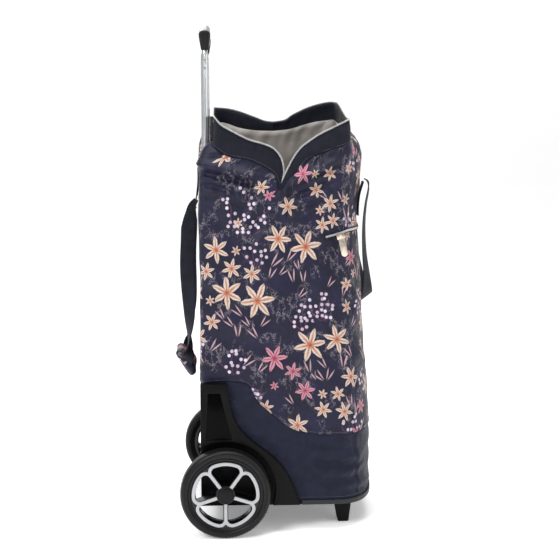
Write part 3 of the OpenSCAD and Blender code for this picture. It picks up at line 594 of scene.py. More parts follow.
def woven(name, colour, second, thread_mm, sheen, roughness=0.78, crumpled=0.0):
    """Woven cloth in metres of its own UV map, crumpled where it lies loose.

    Threads are drawn coarser than the real 0.3 mm, so that they show.
    """
    made, tree = new_material(name)
    cloth = add(tree, "ShaderNodeUVMap", uv_map="cloth")
    sep = add(tree, "ShaderNodeSeparateXYZ", [cloth])
    pitch = 2 * math.pi / (thread_mm / 1000)
    runs = [add(tree, "ShaderNodeMath", [sep.outputs[i], pitch], operation="MULTIPLY") for i in (0, 1)]
    warp_and_weft = [add(tree, "ShaderNodeMath", [run], operation="SINE") for run in runs]
    threads = add(tree, "ShaderNodeMath", warp_and_weft, operation="MULTIPLY")
    uneven = add(tree, "ShaderNodeTexNoise", {"Vector": cloth, "Scale": 55.0, "Detail": 6.0})
    slub = add(tree, "ShaderNodeTexNoise", {"Vector": cloth, "Scale": 700.0, "Detail": 2.0})
    tone = add(tree, "ShaderNodeMixRGB", [add(tree, "ShaderNodeMapRange", [uneven, 0.35, 0.65, 0.0, 1.0]),
                                          linear(colour), linear(second)])
    spread = add(tree, "ShaderNodeMapRange", [slub, 0.3, 0.7, 0.84, 1.16])
    tint = add(tree, "ShaderNodeVectorMath", {0: tone, "Scale": spread}, operation="SCALE")
    height = add(tree, "ShaderNodeMath", [threads, slub], operation="ADD")
    relief = add(tree, "ShaderNodeBump", {"Strength": 0.35, "Distance": 0.0004, "Height": height})
    if crumpled:
        soft_folds = add(tree, "ShaderNodeTexNoise",
                         {"Vector": cloth, "Scale": 13.0, "Detail": 3.0, "Distortion": 1.4})
        relief = add(tree, "ShaderNodeBump", {"Strength": crumpled, "Distance": 0.012, "Height": soft_folds,
                                              "Normal": relief})
    finish_material(tree, add(tree, "ShaderNodeBsdfPrincipled",
                              {"Base Color": tint, "Roughness": roughness, "Sheen Weight": sheen,
                               "Sheen Roughness": 0.5, "Specular IOR Level": 0.22, "Normal": relief}))
    return made


def walled(obj, thickness, offset=-1):
    """Gives a sheet of cloth its thickness, inwards unless told otherwise."""
    wall = obj.modifiers.new("wall", "SOLIDIFY")
    wall.thickness = thickness
    wall.offset = offset
    return applied(obj)


def cloth_shell(name, points, heights, material):
    """A closed ring of cloth with its UV map in metres."""
    rows = points.shape[0]
    obj = grid_object(name, points, material, closed=True)
    layer = obj.data.uv_layers.new(name="cloth")
    uv = np.zeros((len(obj.data.loops), 2))
    r, c = np.divmod(np.arange((rows - 1) * columns), columns)
    for corner, (dr, dc) in enumerate(((0, 0), (0, 1), (1, 1), (1, 0))):
        uv[corner::4, 0] = girth[c + dc]
        uv[corner::4, 1] = heights[r + dr, (c + dc) % columns]
    layer.data.foreach_set("uv", uv.ravel())
    return obj


CLOTH_WALL = 0.0018
base_cloth = woven("oxford_polyester_navy", "#0b0f22", "#13182f", 0.9, sheen=0.05, roughness=0.55,
                   crumpled=0.7)


def base_relief(s, z):
    """Soft level wrinkles, as a coated cloth makes where it is pulled over its stiff floor."""
    run = from_back_edge(s)
    relief = 0.0012 * np.sin(z * 150 + 2.5 * np.sin(s * 14) + 1.2 * np.sin(s * 41))
    for start, end, width, height in (((0.18, 0.150), (0.33, 0.135), 0.010, 0.003),
                                      ((0.20, 0.105), (0.34, 0.120), 0.009, 0.0026),
                                      ((0.16, 0.175), (0.30, 0.168), 0.008, 0.002),
                                      ((0.24, 0.085), (0.40, 0.080), 0.007, 0.002)):
        relief = relief + 1.6 * ridge(run, z, start, end, width, height)
    return relief + panel_crease(run, z)


rows = 46
base_points = bag_surface(rows, np.full(columns, base_z + 0.0005), base_seam, proud=-0.0006, folds=0.0)
base_heights = base_points[:, :, 2]
clear_of_housing = np.clip((reference[:, 0] - (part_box("housing_right")[1].x + 0.004)) / 0.03, 0, 1)
clear_of_housing = np.where(np.abs(reference[:, 1]) < half_w - 0.02, 1.0, clear_of_housing)
for r in range(rows):
    fade = min(1.0, r / 5, (rows - 1 - r) / 3) * clear_of_housing
    ring = base_points[r, :, :2]
    ring += outward_normals(ring) * (fade * base_relief(girth[:-1], base_heights[r]))[:, None]
base = walled(cloth_shell("base_cloth_shown", base_points, base_heights, base_cloth), CLOTH_WALL)
place_piece(base, "trolley", "base_fabric", "base_side_right", "base_side_left", "base_front")

binding_tape, tree = new_material("woven_binding_black_plain")
place = add(tree, "ShaderNodeTexCoord")
ribs = add(tree, "ShaderNodeTexWave", {"Vector": place.outputs["Object"], "Scale": 180.0, "Distortion": 1.0},
           bands_direction="DIAGONAL")
tone = add(tree, "ShaderNodeMixRGB", [ribs, linear("#131417"), linear("#1e1f23")])
relief = add(tree, "ShaderNodeBump", {"Strength": 0.3, "Distance": 0.0003, "Height": ribs})
finish_material(tree, add(tree, "ShaderNodeBsdfPrincipled",
                          {"Base Color": tone, "Roughness": 0.75, "Sheen Weight": 0.1, "Normal": relief}))
dress("hem_trim", binding_tape)
dress("rear_guard", binding_tape)

board_cloth = uneven_finish("cloth_covered_board", 500.0, 3.0, "#56524e", "#6d6863", bump=0.0003,
                            settings={"Roughness": 0.85})
dress("floor_board", board_cloth)
dress("back_board", board_cloth)

# ---- Printed cloth of the bag ----
# The upper bag is dark navy polyester printed with lilies, pink blooms, sprigs of berries and
# outlined leaves. It is gathered in under the mouth's band and falls in soft diagonal folds.

# Motifs on the right side: millimetres from its back edge, height, radius, and 1 for a pink bloom.
LILIES = [(35, 710, 17, 0), (125, 655, 15, 0), (80, 590, 10, 0), (160, 560, 28, 0), (180, 620, 19, 0),
          (230, 680, 9, 0), (260, 680, 14, 0), (235, 650, 15, 0), (265, 625, 17, 0), (245, 612, 10, 0),
          (250, 585, 16, 0), (272, 593, 15, 0), (215, 545, 32, 0), (35, 540, 26, 0), (75, 538, 10, 0),
          (65, 505, 20, 0), (15, 500, 17, 0), (105, 495, 19, 0), (55, 460, 32, 0), (115, 445, 35, 0),
          (22, 445, 10, 0), (25, 405, 17, 0), (215, 360, 33, 0), (268, 370, 28, 0), (295, 430, 15, 0),
          (295, 295, 22, 0), (125, 240, 16, 0), (235, 265, 10, 0), (265, 265, 15, 0), (235, 235, 17, 0),
          (277, 230, 19, 0), (185, 205, 22, 0), (205, 680, 20, 1), (140, 640, 11, 1), (145, 335, 26, 1),
          (180, 310, 18, 1), (202, 272, 20, 1), (143, 282, 9, 1)]
SPRIGS = [(95, 615, 50), (112, 535, 26), (240, 435, 30), (200, 412, 24), (105, 270, 18), (65, 330, 26)]
LEAVES = [(155, 520, 17), (145, 498, 14), (75, 425, 14), (42, 420, 13), (75, 390, 15), (105, 385, 15),
          (185, 530, 14), (185, 492, 15), (207, 490, 13), (210, 320, 15), (230, 300, 14), (250, 303, 14),
          (280, 330, 17), (290, 250, 14), (305, 235, 13), (60, 275, 16), (95, 330, 15), (30, 360, 15),
          (58, 405, 13), (92, 405, 12), (128, 405, 13), (168, 500, 12), (196, 512, 11), (238, 325, 13),
          (222, 300, 11), (120, 318, 13), (292, 345, 14), (172, 255, 12), (300, 555, 13),
          (308, 515, 14), (292, 462, 14), (312, 400, 14), (262, 478, 12), (205, 458, 12),
          (250, 640, 11), (285, 640, 12), (300, 690, 13)]
draw_motif = np.random.default_rng(31)


def fill_cloth(placed, sizes, spacing, tries, spread=math.pi):
    """Adds motifs at random over the cloth that the placed ones leave free."""
    motifs = [(right_edge + m[0] / 1000, m[1] / 1000, m[2] / 1000) for m in placed]
    kinds = [m[3] if len(m) > 3 else 0.0 for m in placed]
    keep_out = len(motifs)
    for _ in range(tries):
        s, z = draw_motif.uniform(0, girth[-1]), draw_motif.uniform(0.17, 0.76)
        size = draw_motif.uniform(*sizes)
        kind = float(draw_motif.random() < 0.2)
        if keep_out and right_edge - 0.005 < s < right_edge + 0.295:
            continue
        spots = np.array(motifs)
        if np.any(np.hypot(spots[:, 0] - s, spots[:, 1] - z) < spacing * (spots[:, 2] + size)):
            continue
        motifs.append((s, z, size))
        kinds.append(kind)
    turns = draw_motif.uniform(-spread, spread, len(motifs)) + math.pi / 2
    return np.array(motifs), np.array(kinds), turns


MOTIFS = {"lily": fill_cloth(LILIES, (0.009, 0.031), 1.02, 2600),
          "sprig": fill_cloth(SPRIGS, (0.018, 0.040), 1.4, 500),
          "leaf": fill_cloth(LEAVES, (0.017, 0.024), 1.15, 1200, spread=0.9)}


def print_on(obj):
    """Stores, at each face corner, where it lies within its nearest motif of each kind."""
    mesh = obj.data
    uv = np.zeros(len(mesh.loops) * 2)
    mesh.uv_layers["cloth"].data.foreach_get("uv", uv)
    uv = uv.reshape(-1, 2)
    starts = np.zeros(len(mesh.polygons), int)
    totals = np.zeros(len(mesh.polygons), int)
    mesh.polygons.foreach_get("loop_start", starts)
    mesh.polygons.foreach_get("loop_total", totals)
    face_of = np.repeat(np.arange(len(starts)), totals)
    centres = np.add.reduceat(uv, starts, axis=0) / totals[:, None]
    for name, (motifs, kinds, turns) in MOTIFS.items():
        gaps = np.linalg.norm(centres[:, None] - motifs[None, :, :2], axis=2)
        near = np.argmin(gaps / motifs[None, :, 2], axis=1)
        motif = near[face_of]
        local = (uv - motifs[motif, :2]) / motifs[motif, 2][:, None]
        c, s = np.cos(turns[motif]), np.sin(turns[motif])
        field = np.stack([local[:, 0] * c + local[:, 1] * s, local[:, 1] * c - local[:, 0] * s,
                          kinds[motif] + 0.5 * (motif % 17) / 17], 1)
        if name == "sprig":  # a spray stands upright and keeps its size, so its berries are all alike
            field = np.column_stack([uv - motifs[motif, :2], motifs[motif, 2]])
        made = mesh.attributes.new(name, "FLOAT_VECTOR", "CORNER")
        made.data.foreach_set("vector", field.astype(np.float32).ravel())


printed_cloth, tree = new_material("printed_polyester_lilies_on_navy")
cloth = add(tree, "ShaderNodeUVMap", uv_map="cloth")
wobble = add(tree, "ShaderNodeTexNoise", {"Vector": cloth, "Scale": 170.0, "Detail": 2.0})
shift = add(tree, "ShaderNodeVectorMath", [wobble.outputs["Color"], (0.5, 0.5, 0.5)], operation="SUBTRACT")
uneven = add(tree, "ShaderNodeTexNoise", {"Vector": cloth, "Scale": 26.0, "Detail": 5.0})
colour = add(tree, "ShaderNodeMixRGB", [add(tree, "ShaderNodeMapRange", [uneven, 0.35, 0.65]),
                                        linear("#0e0d23"), linear("#171633")])
# Fine grey-beige twigs run mostly upward in patches, with small leaves beside them.
bent = add(tree, "ShaderNodeVectorMath", {0: shift, 1: (0.02, 0.02, 0.0), 2: cloth}, operation="MULTIPLY_ADD")
drawn_up = add(tree, "ShaderNodeVectorMath", {0: bent, 1: (1.0, 0.42, 0.0)}, operation="MULTIPLY")
cells = add(tree, "ShaderNodeTexVoronoi", {"Vector": drawn_up, "Scale": 80.0}, feature="DISTANCE_TO_EDGE",
            voronoi_dimensions="2D")
patch = add(tree, "ShaderNodeTexNoise", {"Vector": cloth, "Scale": 22.0, "Detail": 1.0})
some = add(tree, "ShaderNodeMapRange", [patch, 0.5, 0.55])
line = add(tree, "ShaderNodeMapRange", [cells.outputs["Distance"], 0.014, 0.042, 1.0, 0.0])
specks = add(tree, "ShaderNodeTexVoronoi", {"Vector": drawn_up, "Scale": 300.0}, voronoi_dimensions="2D")
speck = add(tree, "ShaderNodeMapRange", [specks.outputs["Distance"], 0.24, 0.32, 1.0, 0.0])
beside = add(tree, "ShaderNodeMapRange", [cells.outputs["Distance"], 0.12, 0.2, 1.0, 0.0])
speck = add(tree, "ShaderNodeMath", [speck, beside], operation="MULTIPLY")
twigs = add(tree, "ShaderNodeMath", [line, speck], operation="MAXIMUM")
twigs = add(tree, "ShaderNodeMath", [twigs, some], operation="MULTIPLY")
twigs = add(tree, "ShaderNodeMath", [twigs, 0.55], operation="MULTIPLY")
colour = add(tree, "ShaderNodeMixRGB", [twigs, colour, linear("#857d84")])
# Leaves are pairs of slender pink-white blades that spread apart upwards.
leaf = add(tree, "ShaderNodeAttribute", attribute_name="leaf")
leaf = add(tree, "ShaderNodeSeparateXYZ", [leaf.outputs["Vector"]])
along = add(tree, "ShaderNodeMath", [leaf.outputs[0], leaf.outputs[0]], operation="MULTIPLY")
half = add(tree, "ShaderNodeMath", [along, -0.11, 0.11], operation="MULTIPLY_ADD")
apart = add(tree, "ShaderNodeMath", [leaf.outputs[0], 0.2, 0.27], operation="MULTIPLY_ADD")
off_axis = add(tree, "ShaderNodeMath", [leaf.outputs[1]], operation="ABSOLUTE")
out = add(tree, "ShaderNodeMath", [off_axis, apart], operation="SUBTRACT")
out = add(tree, "ShaderNodeMath", [out], operation="ABSOLUTE")
blade = add(tree, "ShaderNodeMath", [half, out], operation="SUBTRACT")
blade = add(tree, "ShaderNodeMapRange", [blade, 0.0, 0.04])
inner = add(tree, "ShaderNodeMapRange", [out, 0.012, 0.035, 0.35, 1.0])
inside = add(tree, "ShaderNodeMath", [along, 0.98], operation="LESS_THAN")
leaf_mask = add(tree, "ShaderNodeMath", [blade, inside], operation="MULTIPLY")
leaf_tone = add(tree, "ShaderNodeMixRGB", [inner, linear("#4a3a55"), linear("#d0acb2")])
leaf_mask = add(tree, "ShaderNodeMath", [leaf_mask, 0.85], operation="MULTIPLY")
colour = add(tree, "ShaderNodeMixRGB", [leaf_mask, colour, leaf_tone])
# Lilac berries 6 mm across, about 10.5 mm apart, sit along plum stems that fan out from one foot.
sprig = add(tree, "ShaderNodeAttribute", attribute_name="sprig")
spray_size = add(tree, "ShaderNodeSeparateXYZ", [sprig]).outputs[2]
dots = add(tree, "ShaderNodeTexVoronoi", {"Vector": cloth, "Scale": 95.0, "Randomness": 0.72},
           voronoi_dimensions="2D")
to_berry = add(tree, "ShaderNodeVectorMath", [dots.outputs["Position"], cloth], operation="SUBTRACT")
berry_at = add(tree, "ShaderNodeVectorMath", [sprig, to_berry], operation="ADD")


def off_stem(place):
    """Metres from a place in a spray to its nearest stem, and 1 where the place is within the spray."""
    sep = add(tree, "ShaderNodeSeparateXYZ", [place])
    across_spray = add(tree, "ShaderNodeCombineXYZ", [sep.outputs[0], sep.outputs[1]])
    from_middle = add(tree, "ShaderNodeVectorMath", [across_spray], operation="LENGTH").outputs["Value"]
    inside_spray = add(tree, "ShaderNodeMath", [from_middle, spray_size], operation="LESS_THAN")
    above_foot = add(tree, "ShaderNodeMath", [spray_size, 1.1, sep.outputs[1]], operation="MULTIPLY_ADD")
    lean = add(tree, "ShaderNodeMath", [sep.outputs[0], above_foot], operation="ARCTAN2")
    bend = add(tree, "ShaderNodeMath", [above_foot, 75.0], operation="MULTIPLY")
    bend = add(tree, "ShaderNodeMath", [bend], operation="SINE")
    lean = add(tree, "ShaderNodeMath", [bend, 0.16, lean], operation="MULTIPLY_ADD")
    turn = add(tree, "ShaderNodeMath", [lean, 0.31], operation="PINGPONG")
    gap = add(tree, "ShaderNodeMath", [turn, above_foot], operation="MULTIPLY")
    return gap, inside_spray


gap, inside_spray = off_stem(sprig)
stem = add(tree, "ShaderNodeMapRange", [gap, 0.0004, 0.001, 1.0, 0.0])
stem = add(tree, "ShaderNodeMath", [stem, inside_spray], operation="MULTIPLY")
stem = add(tree, "ShaderNodeMath", [stem, 0.7], operation="MULTIPLY")
colour = add(tree, "ShaderNodeMixRGB", [stem, colour, linear("#5c3049")])
gap, inside_spray = off_stem(berry_at)
on_stem = add(tree, "ShaderNodeMath", [gap, 0.0068], operation="LESS_THAN")
berry = add(tree, "ShaderNodeMapRange", [dots.outputs["Distance"], 0.28, 0.33, 1.0, 0.0])
on_stem = add(tree, "ShaderNodeMath", [on_stem, inside_spray], operation="MULTIPLY")
berry = add(tree, "ShaderNodeMath", [berry, on_stem], operation="MULTIPLY")
dot_tone = add(tree, "ShaderNodeSeparateXYZ", [dots.outputs["Color"]])
berry_tone = add(tree, "ShaderNodeMixRGB", [dot_tone.outputs[0], linear("#cfc4d2"), linear("#ab98ad")])
colour = add(tree, "ShaderNodeMixRGB", [berry, colour, berry_tone])
# A lily has six slender pointed petals, cream or pink, streaked orange-brown from its centre.
lily = add(tree, "ShaderNodeAttribute", attribute_name="lily")
soft = add(tree, "ShaderNodeVectorMath", {0: shift, 1: (0.11, 0.11, 0.0), 2: lily.outputs["Vector"]},
           operation="MULTIPLY_ADD")
lily_xyz = add(tree, "ShaderNodeSeparateXYZ", [soft])
flat = add(tree, "ShaderNodeCombineXYZ", [lily_xyz.outputs[0], lily_xyz.outputs[1]])
reach = add(tree, "ShaderNodeVectorMath", [flat], operation="LENGTH").outputs["Value"]
angle = add(tree, "ShaderNodeMath", [lily_xyz.outputs[1], lily_xyz.outputs[0]], operation="ARCTAN2")
fold = add(tree, "ShaderNodeMath", [angle, math.pi / 6], operation="PINGPONG")
down = add(tree, "ShaderNodeMath", [reach, add(tree, "ShaderNodeMath", [fold], operation="COSINE")],
           operation="MULTIPLY")
side_way = add(tree, "ShaderNodeMath", [reach, add(tree, "ShaderNodeMath", [fold], operation="SINE")],
               operation="MULTIPLY")
swell = add(tree, "ShaderNodeMath", [down, 0.8], operation="POWER")
left_over = add(tree, "ShaderNodeMath", [1.04, down], operation="SUBTRACT")
left_over = add(tree, "ShaderNodeMath", [left_over, 0.0], operation="MAXIMUM")
taper = add(tree, "ShaderNodeMath", [left_over, 0.85], operation="POWER")
petal_w = add(tree, "ShaderNodeMath", [swell, taper], operation="MULTIPLY")
petal_w = add(tree, "ShaderNodeMath", [petal_w, 0.56], operation="MULTIPLY")
depth = add(tree, "ShaderNodeMath", [petal_w, side_way], operation="SUBTRACT")
petal = add(tree, "ShaderNodeMapRange", [depth, 0.0, 0.045])
crosswise = add(tree, "ShaderNodeMath", [petal_w, 0.02], operation="ADD")
crosswise = add(tree, "ShaderNodeMath", [side_way, crosswise], operation="DIVIDE")
streak = add(tree, "ShaderNodeMath", [add(tree, "ShaderNodeMapRange", [crosswise, 0.05, 0.38, 1.0, 0.0]),
                                      add(tree, "ShaderNodeMapRange", [down, 0.22, 0.72, 1.0, 0.0])],
             operation="MULTIPLY")
eye = add(tree, "ShaderNodeMapRange", [reach, 0.1, 0.3, 1.0, 0.0])
warm = add(tree, "ShaderNodeMath", [streak, eye], operation="MAXIMUM")
pink = add(tree, "ShaderNodeMath", [lily_xyz.outputs[2], 0.9], operation="GREATER_THAN")
pale = add(tree, "ShaderNodeMixRGB", [pink, linear("#cbb8ab"), linear("#c08795")])
shaded = add(tree, "ShaderNodeMixRGB", [pink, linear("#98796a"), linear("#94495f")])
outer = add(tree, "ShaderNodeMapRange", [crosswise, 0.0, 0.42])
petals = add(tree, "ShaderNodeMixRGB", [outer, shaded, pale])
warm = add(tree, "ShaderNodeMath", [warm, 0.9], operation="MULTIPLY")
heart = add(tree, "ShaderNodeMixRGB", [pink, linear("#a9552c"), linear("#8f3048")])
petals = add(tree, "ShaderNodeMixRGB", [warm, petals, heart])
rim = add(tree, "ShaderNodeMapRange", [crosswise, 0.78, 0.92])
rim = add(tree, "ShaderNodeMath", [rim, 0.8], operation="MULTIPLY")
petals = add(tree, "ShaderNodeMixRGB", [rim, petals, linear("#4a3640")])
colour = add(tree, "ShaderNodeMixRGB", [petal, colour, petals])
# Plain weave, drawn at 0.8 mm where the real thread is nearer 0.25 mm, so that it shows.
threads = add(tree, "ShaderNodeTexVoronoi", {"Vector": cloth, "Scale": 1250.0, "Randomness": 0.15},
              voronoi_dimensions="2D")
slub = add(tree, "ShaderNodeTexNoise", {"Vector": cloth, "Scale": 500.0, "Detail": 3.0})
spread = add(tree, "ShaderNodeMapRange", [slub, 0.3, 0.7, 0.86, 1.12])
tint = add(tree, "ShaderNodeVectorMath", {0: colour, "Scale": spread}, operation="SCALE")
relief = add(tree, "ShaderNodeBump",
             {"Strength": 0.3, "Distance": 0.0004, "Height": threads.outputs["Distance"]})
crumple = add(tree, "ShaderNodeTexNoise", {"Vector": cloth, "Scale": 17.0, "Detail": 3.0, "Distortion": 1.0})
relief = add(tree, "ShaderNodeBump",
             {"Strength": 0.7, "Distance": 0.012, "Height": crumple, "Normal": relief})
finish_material(tree, add(tree, "ShaderNodeBsdfPrincipled",
                          {"Base Color": tint, "Roughness": 0.55, "Sheen Weight": 0.04,
                           "Sheen Roughness": 0.45, "Specular IOR Level": 0.3, "Normal": relief}))

bag_points = bag_surface(128, base_seam, top_edge)
bag = cloth_shell("printed_cloth_shown", bag_points, bag_points[:, :, 2], printed_cloth)
print_on(bag)
place_piece(walled(bag, CLOTH_WALL), "trolley", "print_fabric",
            "bag_back", "bag_side_right", "bag_side_left", "bag_front")

# ---- Lining ----
# A thin beige-grey taffeta lining hangs loosely inside the printed cloth and creases sharply. Its
# top edge ends 5 mm above the printed cloth's, behind the mouth's bands.

taffeta, tree = new_material("taffeta_lining_beige")
cloth = add(tree, "ShaderNodeUVMap", uv_map="cloth")
crease = add(tree, "ShaderNodeTexVoronoi", {"Vector": cloth, "Scale": 22.0}, feature="SMOOTH_F1",
             voronoi_dimensions="2D")
haze = add(tree, "ShaderNodeTexNoise", {"Vector": cloth, "Scale": 30.0, "Detail": 6.0})
tone = add(tree, "ShaderNodeMixRGB", [haze, linear("#68635f"), linear("#9b958f")])
relief = add(tree, "ShaderNodeBump",
             {"Strength": 0.7, "Distance": 0.006, "Height": crease.outputs["Distance"]})
finish_material(tree, add(tree, "ShaderNodeBsdfPrincipled",
                          {"Base Color": tone, "Roughness": 0.5, "Sheen Weight": 0.2, "Normal": relief}))
lining_low = np.full(columns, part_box("floor_board")[1].z + 0.0005)
lining_points = bag_surface(60, lining_low, top_edge + 0.005, proud=-0.0055, folds=0.9)
ripple = 0.0022 * waves(3.1 * girth[:-1][None, :] + 1.7, 2.4 * lining_points[:, :, 2])
centre = lining_points[:, :, :2].mean(axis=(0, 1))
inward = centre - lining_points[:, :, :2]
lining_points[:, :, :2] += inward * (np.abs(ripple) / np.linalg.norm(inward, axis=2))[:, :, None]
lining = cloth_shell("lining_shown", lining_points, lining_points[:, :, 2], taffeta)
place_piece(walled(lining, 0.0008), "trolley", "print_fabric")

# ---- Mouth bands ----
# Two stiff strips of plain navy cloth stand round the mouth, a rear and a front one. They meet at
# the zip's lower end on the right side and carry the two halves of the zip along their top edges.

band_cloth = woven("plain_polyester_navy_band", "#0c0e19", "#141623", 0.9, sheen=0.04)
CORNER = 0.018


def edge_path(right, left, end_x, inset):
    """An edge of a mouth band: from the zip's end on the right side, across, and back on the left."""
    flank = curve_through(right, 90)
    far = curve_through(left, 90)
    inward = 1 if end_x < vee_x else -1

    def rounded(x):
        d = np.clip((x - end_x) * inward, 0, CORNER)
        return half_w - inset - CORNER + np.sqrt(np.maximum(CORNER ** 2 - (CORNER - d) ** 2, 0))

    flank = np.stack([flank[:, 0], -rounded(flank[:, 0]), flank[:, 1]], 1)
    far = np.stack([far[:, 0], rounded(far[:, 0]), far[:, 1]], 1)
    share = np.linspace(0, 1, 72)[1:-1, None]
    across = flank[-1] + (far[0] - flank[-1]) * share
    across[:, 2] = flank[-1, 2] + (far[0, 2] - flank[-1, 2]) * eased(share[:, 0])
    return np.concatenate([flank, across, far])


BANDS = {
    "rear": (edge_path(REAR_RIGHT, REAR_LEFT, mouth_back, 0.0),
             edge_path(mm((101.5, 652), (107, 671), (108.7, 687), (105, 705), (97, 718), (86, 727), (70, 733),
                          (46, 740), (21.5, 752), (-3, 766), (-17, 783)),
                       mm((-17, 799), (11, 797), (36, 791), (69, 779), (88, 772), (105, 770)),
                       mouth_back + 0.002, 0.004)),
    "front": (edge_path(FRONT_RIGHT, FRONT_LEFT, mouth_front, 0.0),
              edge_path(mm((103.5, 651), (106, 659), (112, 672), (122, 693), (131, 709), (143, 725),
                           (158, 737), (178, 750), (206, 764), (232, 777)),
                        mm((232, 810), (216, 810), (181, 801), (146, 785), (129, 774), (105, 770)),
                        mouth_front - 0.002, 0.004))}


def lay_out(obj, places):
    """Gives a sheet its UV map in metres, from the place of each of its points on the flat cloth."""
    layer = obj.data.uv_layers.new(name="cloth")
    verts = np.zeros(len(obj.data.loops), int)
    obj.data.loops.foreach_get("vertex_index", verts)
    layer.data.foreach_set("uv", places.reshape(-1, 2)[verts].ravel())


def strip(name, low, high, material, thickness, rows=9, swell=0.0, ripple=0.0):
    """A sewn strip of cloth between two edges, with its UV map in metres."""
    count = len(low)
    run = np.r_[0, np.cumsum(np.linalg.norm(np.diff(low, axis=0), axis=1))]
    tangent = np.gradient(low, axis=0)
    up = high - low
    out = np.cross(tangent, up)
    out /= np.maximum(np.linalg.norm(out, axis=1)[:, None], 1e-9)
    if np.sum(out[:, :2] * (low[:, :2] - low[:, :2].mean(0))) < 0:
        out = -out
    points = np.zeros((rows, count, 3))
    uv_grid = np.zeros((rows, count, 2))
    for r in range(rows):
        share = r / (rows - 1)
        wave = ripple * np.sin(run * 160 + 3 * share + 2 * np.sin(run * 47)) * math.sin(math.pi * share)
        points[r] = low + up * share + out * (swell * math.sin(math.pi * share) + wave)[:, None]
        uv_grid[r] = np.stack([run, share * np.linalg.norm(up, axis=1)], 1)
    obj = grid_object(name, points, material)
    lay_out(obj, uv_grid)
    return walled(obj, thickness, offset=0), out


# The rear band curves in a little, clear of the stiff guard behind it; the front one swells and ripples.
SWELL = {"rear": -0.0014, "front": 0.0018}
RIPPLE = {"rear": 0.0002, "front": 0.0007}
band_out = {}
for end, (low, high) in BANDS.items():
    band, band_out[end] = strip("mouth_band_" + end + "_shown", low, high, band_cloth, 0.0022,
                                swell=SWELL[end], ripple=RIPPLE[end])
    outward(band)
    place_piece(band, "trolley", "band_fabric", "mouth_band_" + end)

# ---- Zips ----
# Pale nylon coil zips on navy tape. A coil's turns are drawn 1.8 mm apart, where the real ones are
# 1.2 mm, so that they show. The sliders and pulls are die-cast zinc with a champagne finish.

coil_nylon = uneven_finish("nylon_zip_coil_grey", 160.0, 3.0, "#aeaeae", "#d2d1cf",
                           settings={"Roughness": 0.38, "IOR": 1.53})
thread = uneven_finish("polyester_sewing_thread", 900.0, 1.0, "#3b3d52", "#5a5c72",
                       settings={"Roughness": 0.6, "Sheen Weight": 0.2})
COIL_PITCH = 0.0018
STITCH_PITCH = 0.0034

beads = bpy.data.node_groups.new("beads_along_a_path", "GeometryNodeTree")
for name, kind in (("Path", "NodeSocketGeometry"), ("Spacing", "NodeSocketFloat"),
                   ("Bead size", "NodeSocketVector"), ("Finish", "NodeSocketMaterial")):
    beads.interface.new_socket(name, in_out="INPUT", socket_type=kind)
beads.interface.new_socket("Beads", in_out="OUTPUT", socket_type="NodeSocketGeometry")
inlet = add(beads, "NodeGroupInput")
path_curve = add(beads, "GeometryNodeMeshToCurve", {"Mesh": inlet.outputs["Path"]})
stops = add(beads, "GeometryNodeResampleCurve", {"Curve": path_curve, "Length": inlet.outputs["Spacing"]},
            mode="LENGTH")
across = add(beads, "GeometryNodeInputNamedAttribute", {"Name": "across"}, data_type="FLOAT_VECTOR")
turned = add(beads, "FunctionNodeAxesToRotation",
             {0: add(beads, "GeometryNodeInputTangent"), 1: across.outputs["Attribute"]},
             primary_axis="X", secondary_axis="Y")
bead = add(beads, "GeometryNodeMeshUVSphere", {"Segments": 6, "Rings": 4, "Radius": 0.5})
set_out = add(beads, "GeometryNodeInstanceOnPoints",
              {"Points": stops, "Instance": bead, "Rotation": turned, "Scale": inlet.outputs["Bead size"]})
real = add(beads, "GeometryNodeRealizeInstances", [set_out])
finished = add(beads, "GeometryNodeSetMaterial", {"Geometry": real, "Material": inlet.outputs["Finish"]})
add(beads, "NodeGroupOutput", {"Beads": finished})


def bead_run(name, path, across_dir, spacing, size, material):
    """Coil turns or stitches along a path: size is along it, across it and thick."""
    mesh = bpy.data.meshes.new(name)
    mesh.from_pydata(path.tolist(), [(i, i + 1) for i in range(len(path) - 1)], [])
    side = mesh.attributes.new("across", "FLOAT_VECTOR", "POINT")
    side.data.foreach_set("vector", np.ascontiguousarray(across_dir, dtype=np.float32).ravel())
    obj = bpy.data.objects.new(name, mesh)
    bpy.context.scene.collection.objects.link(obj)
    run = obj.modifiers.new("beads", "NODES")
    run.node_group = beads
    inputs = {item.name: item.identifier for item in beads.interface.items_tree if item.in_out == "INPUT"}
    run[inputs["Spacing"]] = spacing
    run[inputs["Bead size"]] = size
    run[inputs["Finish"]] = material
    applied(obj)
    obj.data.shade_smooth()
    return obj


def unit(rows):
    return rows / np.maximum(np.linalg.norm(rows, axis=1)[:, None], 1e-9)


def level_out(tangent):
    """Level unit vectors that point out of the bag, from the tangents of a path round it."""
    return unit(np.stack([tangent[:, 1], -tangent[:, 0], np.zeros(len(tangent))], 1))


for end, (low, high) in BANDS.items():
    up = unit(high - low)
    tape, _ = strip("zip_tape_" + end, high - up * 0.002 + band_out[end] * 0.0015,
                    high + up * 0.003 + band_out[end] * 0.0005, band_cloth, 0.0009, rows=3)
    outward(tape)
    place_piece(tape, "trolley", "band_fabric")
    coil = bead_run("mouth_zip_" + end + "_shown", high + up * 0.0022 + band_out[end] * 0.001, up, COIL_PITCH,
                    (0.0014, 0.0044, 0.0021), coil_nylon)
    place_piece(coil, "trolley", "zip_coil", "mouth_zip_" + end)
    seam = low + up * 0.0035 + band_out[end] * 0.0016
    place_piece(bead_run("band_stitches_" + end, seam, up, STITCH_PITCH, (0.0026, 0.0007, 0.0006), thread),
                "trolley", "band_fabric")

